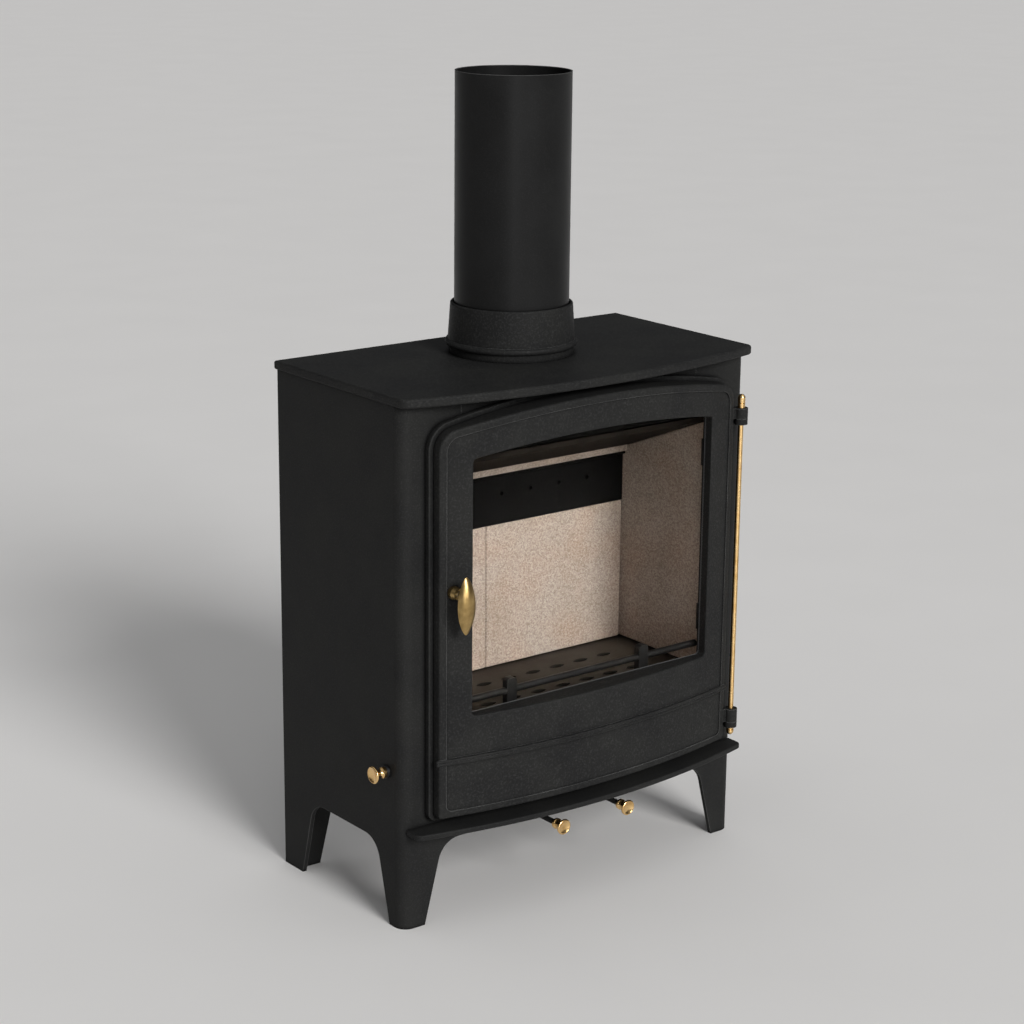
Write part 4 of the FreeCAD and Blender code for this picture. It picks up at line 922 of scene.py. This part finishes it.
@dataclass(frozen=True)
class ArchedLine:
    """Closed line with straight sides, an arched top and rounded corners, in millimetres.

    The steps are the points drawn on a foot arc, on a corner arc and on half of the arch.
    """

    half: float
    bottom: float
    apex: float
    arch: float
    corner: float
    foot: float
    steps: tuple[int, int, int] = (24, 32, 160)

    def points(self, count: int) -> tuple[np.ndarray, np.ndarray]:
        """Evenly spaced points round the line, counted from the middle of the bottom.

        The right half is a bottom run, a foot arc, a side, a corner arc tangent to the side and to
        the arch, and the arch up to its crown. The left half is its mirror image.

        Args:
            count: How many points.

        Returns:
            Points in the XZ plane and the outward normals there, each count by two.
        """
        centre = self.apex - self.arch
        inner_x = self.half - self.corner
        inner_z = centre + math.sqrt((self.arch - self.corner) ** 2 - inner_x ** 2)
        lean = math.atan2(inner_z - centre, inner_x)
        foot = np.linspace(-math.pi / 2, 0, self.steps[0])
        bend = np.linspace(0, lean, self.steps[1])
        crown = np.linspace(lean, math.pi / 2, self.steps[2])
        x = np.concatenate([
            [0.0],
            self.half - self.foot + self.foot * np.cos(foot),
            inner_x + self.corner * np.cos(bend),
            self.arch * np.cos(crown),
        ])
        z = np.concatenate([
            [self.bottom],
            self.bottom + self.foot + self.foot * np.sin(foot),
            inner_z + self.corner * np.sin(bend),
            centre + self.arch * np.sin(crown),
        ])
        line = np.column_stack([np.concatenate([x, -x[-2::-1]]), np.concatenate([z, z[-2::-1]])])
        run = np.concatenate([[0.0], np.cumsum(np.linalg.norm(np.diff(line, axis=0), axis=1))])
        at = np.linspace(0, run[-1], count, endpoint=False)
        even = np.column_stack([np.interp(at, run, line[:, k]) for k in (0, 1)])
        tangent = np.roll(even, -1, axis=0) - np.roll(even, 1, axis=0)
        tangent /= np.linalg.norm(tangent, axis=1, keepdims=True)
        return even, np.column_stack([tangent[:, 1], -tangent[:, 0]])


def carried(
    line: np.ndarray, normal: np.ndarray, depth: float, out: np.ndarray, back: np.ndarray
) -> np.ndarray:
    """Carry a section along an upright line: each point goes out along the normal and back on Y.

    Args:
        line: Points of the line in the XZ plane.
        normal: Outward normals of the line.
        depth: The line's place on Y.
        out: Section offsets along the normal, rows by columns.
        back: Section offsets along Y, rows by columns.

    Returns:
        Grid of places, rows by columns by three.
    """
    x = line[:, 0:1] + normal[:, 0:1] * out
    z = line[:, 1:2] + normal[:, 1:2] * out
    return np.stack([x, depth + back, z], axis=-1)


@dataclass
class BodyShell:
    """Folded shell, apron and header, top plate, ash lip, and the welds that hold the back panel.

    The swell and the flattening of a weld are shares of its leg, and a higher power makes its ends
    blunter. Steps are grid points along and round a run.
    """

    sheet: tuple[str, ...] = (
        "left_side_panel",
        "right_side_panel",
        "front_apron",
        "front_header",
        "back_panel",
        "ash_lip",
    )
    cast: tuple[str, ...] = ("top_plate", "door_frame", "rear_blanking_plate")
    fixings: tuple[str, ...] = ("blanking_bolts", "blanking_nuts", "collar_screws")
    inner_half: float = 230.0
    back_face: float = 93.0
    weld_levels: tuple[float, ...] = (125.0, 225.0, 325.0, 425.0, 525.0)
    weld_length: float = 42.0
    weld_leg: float = 4.0
    weld_end_power: int = 6
    weld_flattening: float = 0.22
    weld_steps: tuple[int, int] = (72, 9)
    ripple: float = 3.2
    swell: float = 0.1

    def build(self) -> None:
        """Dress the sheets and castings and lay the weld runs."""
        dress(SHEET_PAINT, *self.sheet)
        dress(CAST_PAINT, *self.cast)
        dress(ZINC_STEEL, *self.fixings)
        dress(HEAT_PAINT, "base_plate")
        for number, level in enumerate(self.weld_levels):
            for side, word in ((-1, "left"), (1, "right")):
                name = f"{word}_back_weld_{number + 1}"
                piece = grid_object(name, self.weld_run(side, level), False, True, SHEET_PAINT)
                seat(piece, Body.SHELL, "painted_steel")

    def weld_run(self, side: int, level: float) -> np.ndarray:
        """Fillet weld in the corner of a side panel and the back panel.

        The section is a quarter round on two legs, flattened in its middle. The legs grow from
        nothing at each end, and swell and shrink in step with the ripples of the arc.

        Args:
            side: -1 for the left corner, 1 for the right.
            level: Height of the run's middle.

        Returns:
            Grid of places along and round the run.
        """
        along = np.linspace(-1, 1, self.weld_steps[0])[:, None]
        angle = np.linspace(0, math.pi / 2, self.weld_steps[1])[None, :]
        wave = np.abs(np.sin(along * self.weld_length * math.pi / (2 * self.ripple)))
        taper = np.clip(1 - along ** self.weld_end_power, 0, 1) ** 0.5
        leg = self.weld_leg * taper * (1 + self.swell * wave)
        face = 1 - self.weld_flattening * np.sin(2 * angle)
        inward = np.concatenate([leg * np.cos(angle) * face, np.zeros_like(along)], axis=1)
        rearward = np.concatenate([leg * np.sin(angle) * face, np.zeros_like(along)], axis=1)
        x = side * (self.inner_half - inward)
        z = np.broadcast_to(level + along * self.weld_length / 2, inward.shape)
        return np.stack([x, self.back_face + rearward, z], axis=-1)


@dataclass
class Flue:
    """Cast collar and the rolled pipe, with the pipe's welded seam at the back.

    The seam is two levels on the pipe. Its ripple is a length along it and its ripple depth a share
    of its rise, a higher power makes its ends blunter, and its underside is sunk in the pipe. Steps
    are grid points along and across it.
    """

    radius: float = 62.5
    axis_y: float = 10.0
    seam: Span = (634.0, 879.0)
    seam_width: float = 5.0
    seam_rise: float = 0.5
    seam_sink: float = 0.3
    seam_end_power: int = 40
    seam_steps: tuple[int, int] = (400, 13)
    ripple: float = 2.6
    ripple_depth: float = 0.2

    def build(self) -> None:
        """Dress the collar and pipe and lay the seam."""
        dress(CAST_PAINT, "flue_collar")
        dress(PIPE_PAINT, "flue_pipe")
        seam = grid_object("flue_pipe_seam", self.seam_bead(), False, True, PIPE_PAINT)
        seat(seam, Body.SHELL, "painted_steel")

    def seam_bead(self) -> np.ndarray:
        """Flat bead up the pipe: a half wave across its width, rippled along its length.

        Returns:
            Grid of places along and across the bead, with its sunk underside.
        """
        along = np.linspace(0, 1, self.seam_steps[0])[:, None]
        across = np.linspace(-1, 1, self.seam_steps[1])[None, :]
        height = self.seam[1] - self.seam[0]
        fade = np.clip(1 - (2 * along - 1) ** self.seam_end_power, 0, 1) ** 0.5
        wave = np.cos(2 * math.pi * along * height / self.ripple)
        crest = self.seam_rise * fade * (1 - self.ripple_depth + self.ripple_depth * wave)
        turn = across * fade * self.seam_width / (2 * self.radius)
        z = np.broadcast_to(self.seam[0] + along * height, turn.shape)
        outer = self.radius + crest * np.cos(across * math.pi / 2)
        inner = self.radius - self.seam_sink
        top, low = (
            np.stack([reach * np.sin(turn), self.axis_y + reach * np.cos(turn), z], axis=-1)
            for reach in (outer, inner)
        )
        return np.concatenate([top, low[:, ::-1]], axis=1)


@dataclass
class Door:
    """Bowed door casting, its glass, clips, gasket tape and rope seal.

    The rib's rise is a share of the tape's thickness, and the tape's power squares its round
    section. Steps are grid points along and round the rope and the tape.
    """

    half: float = 201.0
    bottom: float = 125.0
    apex: float = 560.0
    arch: float = 1000.0
    corner: float = 24.0
    rope_inset: float = 5.5
    rope_foot: float = 7.0
    rope_depth: float = -125.8
    rope_radius: float = 3.42
    rope_steps: tuple[int, int] = (1500, 32)
    plait: float = 8.0
    plaits_round: int = 4
    plait_rise: float = 0.22
    plait_middle: float = 0.5
    window_half: float = 163.0
    window_bottom: float = 234.5
    window_apex: float = 523.5
    window_corner: float = 5.0
    tape_width: float = 5.0
    tape_depths: Span = (-129.2, -127.2)
    tape_power: float = 0.35
    tape_steps: tuple[int, int] = (1600, 20)
    rib: float = 1.6
    rib_rise: float = 0.06

    def build(self) -> None:
        """Dress the casting, glass and clips and make the rope and the tape."""
        dress(CAST_PAINT, "door_casting")
        dress(ZINC_STEEL, "clip_screws")
        dress(MILL_STEEL, "glass_clips")
        dress(GLASS, "window_glass")
        # The pane would otherwise keep the lamps' direct light out of the firebox.
        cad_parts["window_glass"].visible_shadow = False
        rope = grid_object("rope_seal", self.rope(), True, True, ROPE)
        seat(rope, Body.DOOR, "rope", "door_rope_seal")
        tape = grid_object("gasket_tape", self.tape(), True, True, ROPE)
        seat(tape, Body.DOOR, "rope", "glass_gasket")

    def rope(self) -> np.ndarray:
        """Knitted rope: a round section whose radius rises on two crossing families of plaits.

        Returns:
            Grid of places along and round the rope.
        """
        line, normal = ArchedLine(
            half=self.half - self.rope_inset,
            bottom=self.bottom + self.rope_inset,
            apex=self.apex - self.rope_inset,
            arch=self.arch,
            corner=self.corner - self.rope_inset,
            foot=self.rope_foot,
        ).points(self.rope_steps[0])
        length = np.linalg.norm(np.diff(line, axis=0), axis=1).sum()
        turns = round(length / self.plait)
        run = np.linspace(0, 2 * math.pi * turns, len(line), endpoint=False)[:, None]
        angle = np.linspace(0, 2 * math.pi, self.rope_steps[1], endpoint=False)[None, :]
        left = np.cos(self.plaits_round * angle + run)
        right = np.cos(self.plaits_round * angle - run)
        rise = self.plait_rise * (np.maximum(left, right) - self.plait_middle)
        radius = self.rope_radius + rise
        out, back = radius * np.cos(angle), radius * np.sin(angle)
        return carried(line, normal, self.rope_depth, out, back)

    def tape(self) -> np.ndarray:
        """Woven tape under the glass: a flat section with rounded edges, ribbed across its width.

        Returns:
            Grid of places along and round the tape.
        """
        grow = self.tape_width / 2
        line, normal = ArchedLine(
            half=self.window_half + grow,
            bottom=self.window_bottom - grow,
            apex=self.window_apex + grow,
            arch=self.arch,
            corner=self.window_corner + grow,
            foot=self.window_corner + grow,
        ).points(self.tape_steps[0])
        low, high = self.tape_depths
        angle = np.linspace(0, 2 * math.pi, self.tape_steps[1], endpoint=False)[None, :]
        length = np.linalg.norm(np.diff(line, axis=0), axis=1).sum()
        ribs = round(length / self.rib)
        wave = np.cos(np.linspace(0, 2 * math.pi * ribs, len(line), endpoint=False))[:, None]
        thick = (high - low) / 2 * (1 - self.rib_rise + self.rib_rise * wave)
        out = np.sign(np.cos(angle)) * np.abs(np.cos(angle)) ** self.tape_power * grow
        back = np.sign(np.sin(angle)) * np.abs(np.sin(angle)) ** self.tape_power * thick
        return carried(line, normal, (low + high) / 2, np.broadcast_to(out, back.shape), back)


@dataclass
class Handle:
    """Leaf handle on its rose, the spindle, and the latch inside."""

    brass: tuple[str, ...] = ("handle_leaf", "handle_rose")
    steel: tuple[str, ...] = ("handle_spindle", "latch_finger", "latch_keeper")

    def build(self) -> None:
        """Dress the brass and the steel."""
        dress(HANDLE_BRASS, *self.brass)
        dress(ZINC_STEEL, *self.steel)


@dataclass
class Hinge:
    """Brass rod with its finials in two painted lugs."""

    brass: tuple[str, ...] = ("hinge_rod", "top_finial", "bottom_finial")
    lugs: tuple[str, ...] = ("upper_hinge_lug", "lower_hinge_lug")

    def build(self) -> None:
        """Dress the brass and the lugs."""
        dress(ROD_BRASS, *self.brass)
        dress(SHEET_PAINT, *self.lugs)


@dataclass
class Firebox:
    """Bricks, baffle, grate, guard and ash pan behind the glass."""

    bricks: tuple[str, ...] = (
        "left_firebrick",
        "right_firebrick",
        "rear_firebrick_left",
        "rear_firebrick_right",
        "baffle_rest",
    )
    grates: tuple[str, ...] = ("grate_bed", "riddling_grate")
    lining: tuple[str, ...] = (
        "back_liner",
        "airwash_deflector",
        "left_airwash_duct",
        "right_airwash_duct",
        "left_grate_rail",
        "right_grate_rail",
    )
    steel: tuple[str, ...] = ("ash_pan", "ash_pan_grip", "riddling_arm")

    def build(self) -> None:
        """Dress the bricks, the iron and the sheet."""
        dress(BRICK, *self.bricks)
        dress(BED_PAINT, *self.grates)
        dress(BAFFLE_IRON, "baffle_plate")
        dress(GUARD_IRON, "log_guard")
        dress(HEAT_PAINT, *self.lining)
        dress(MILL_STEEL, *self.steel)


@dataclass
class AirControls:
    """Air box, slides and the brass knobs that work them and the riddling grate."""

    boxwork: tuple[str, ...] = ("air_box", "valve_guides", "primary_air_slide", "airwash_slide")
    rods: tuple[str, ...] = ("primary_air_rod", "airwash_rod")
    knobs: tuple[str, ...] = ("primary_air_knob", "airwash_knob")

    def build(self) -> None:
        """Dress the sheet parts, rods and knobs."""
        dress(HEAT_PAINT, *self.boxwork)
        dress(SHEET_PAINT, *self.rods)
        dress(ZINC_STEEL, "riddling_rod")
        dress(MILL_STEEL, "riddling_bush")
        dress(KNOB_BRASS, *self.knobs)
        dress(RIDDLE_BRASS, "riddling_knob")


@dataclass(frozen=True)
class SoftLight:
    """Soft light by its bearing from the stove's front, its height over the floor and its spread.

    Bearing and height are in degrees, distance and target in metres. The spread is an angle in
    degrees for a far light and a side in metres for a panel. The strength is in watts per square
    metre for a far light and in watts for a panel.
    """

    name: str
    kind: Lamp
    bearing: float
    height: float
    spread: float
    strength: float
    distance: float = 3.0
    target: tuple[float, float, float] = (0.0, 0.0, 0.35)

    def build(self) -> None:
        """Hang the light where its bearing, height and distance put it, turned to the target."""
        turn, rise = math.radians(self.bearing), math.radians(self.height)
        level = math.cos(rise)
        toward = Vector((math.sin(turn) * level, -math.cos(turn) * level, math.sin(rise)))
        lamp = bpy.data.lights.new(self.name, self.kind.value)
        if self.kind is Lamp.FAR:
            lamp.angle = math.radians(self.spread)
        else:
            lamp.size = self.spread
        lamp.energy = self.strength
        made = bpy.data.objects.new(self.name, lamp)
        made.location = Vector(self.target) + toward * self.distance
        made.rotation_euler = (-toward).to_track_quat("-Z", "Y").to_euler()
        bpy.context.scene.collection.objects.link(made)
        LOG.info("%s hung", self.name)


@dataclass
class Studio:
    """Pale floor, soft lights, a world dark at the horizon and pale overhead, and the camera.

    The floor's radius is in millimetres and its steps are rings and spokes. The camera's place and
    target are in metres, its roll in degrees and its lens in millimetres. The dusk is the band of
    heights, as sines, over which the world turns from its horizon to its overhead colour.
    """

    floor_radius: float = 40000.0
    floor_steps: tuple[int, int] = (24, 96)
    lights: tuple[SoftLight, ...] = (
        SoftLight("key_light", Lamp.FAR, bearing=-5.0, height=26.0, spread=24.0, strength=2.7),
        SoftLight("left_panel", Lamp.PANEL, bearing=-34.0, height=6.0, spread=0.6, strength=9.0),
    )
    horizon: str = "#3c3c3d"
    overhead: str = "#b4b5b6"
    dusk: Span = (0.2, 0.9)
    camera_place: tuple[float, float, float] = (-1.5723, -2.0091, 1.1052)
    camera_target: tuple[float, float, float] = (-0.02, -0.02, 0.405)
    roll: float = 0.56
    lens: float = 84.0

    def build(self) -> None:
        """Set the floor, the lights, the world and the camera."""
        scene = bpy.context.scene
        scene.view_settings.view_transform = "Standard"
        floor = grid_object("floor", self.floor_points(), False, True, FLOOR)
        for light in self.lights:
            light.build()
        scene.world = self.world()
        scene.camera = self.camera()

    def world(self) -> World:
        """World that brightens with the height over the horizon.

        Returns:
            The world.
        """
        made = bpy.data.worlds.new("studio_world")
        made.use_nodes = True
        tree = made.node_tree
        tree.nodes.clear()
        place = add_node(tree, Kind.PLACE)
        parts = add_node(tree, Kind.PARTS, {0: place.outputs["Generated"]})
        tone = toned(tree, parts.outputs["Z"], self.dusk, self.horizon, self.overhead)
        sky = add_node(tree, Kind.BACKGROUND, {"Color": tone})
        add_node(tree, Kind.WORLD_OUT, {"Surface": sky.outputs[0]})
        return made

    def floor_points(self) -> np.ndarray:
        """Flat disc: rings that widen by the square of their number.

        Returns:
            Grid of places, ring by spoke.
        """
        rings, spokes = self.floor_steps
        ring = (np.linspace(0, 1, rings) ** 2 * self.floor_radius)[:, None]
        angle = np.linspace(0, 2 * math.pi, spokes, endpoint=False)[None, :]
        flat = np.zeros_like(ring * angle)
        return np.stack([ring * np.cos(angle), ring * np.sin(angle), flat], axis=-1)

    def camera(self) -> Object:
        """Camera at the photograph's viewing angle, with its slight roll.

        Returns:
            The camera.
        """
        lens = bpy.data.cameras.new("camera")
        lens.lens = self.lens
        made = bpy.data.objects.new("camera", lens)
        sight = Vector(self.camera_target) - Vector(self.camera_place)
        aim = sight.to_track_quat("-Z", "Y").to_matrix().to_4x4()
        tilt = Matrix.Rotation(math.radians(self.roll), 4, "Z")
        made.matrix_world = Matrix.Translation(self.camera_place) @ aim @ tilt
        bpy.context.scene.collection.objects.link(made)
        return made


@dataclass
class Stove:
    """The whole stove as its sub-assemblies."""

    shell: BodyShell = field(default_factory=BodyShell)
    flue: Flue = field(default_factory=Flue)
    door: Door = field(default_factory=Door)
    handle: Handle = field(default_factory=Handle)
    hinge: Hinge = field(default_factory=Hinge)
    firebox: Firebox = field(default_factory=Firebox)
    controls: AirControls = field(default_factory=AirControls)

    def build(self) -> None:
        """Build the sub-assemblies in order."""
        for part in (
            self.shell,
            self.flue,
            self.door,
            self.handle,
            self.hinge,
            self.firebox,
            self.controls,
        ):
            part.build()


def main() -> None:
    """Build the stove and the studio."""
    logging.basicConfig(level=logging.INFO, format="%(message)s")
    Stove().build()
    Studio().build()


if __name__ == "__main__":
    main()
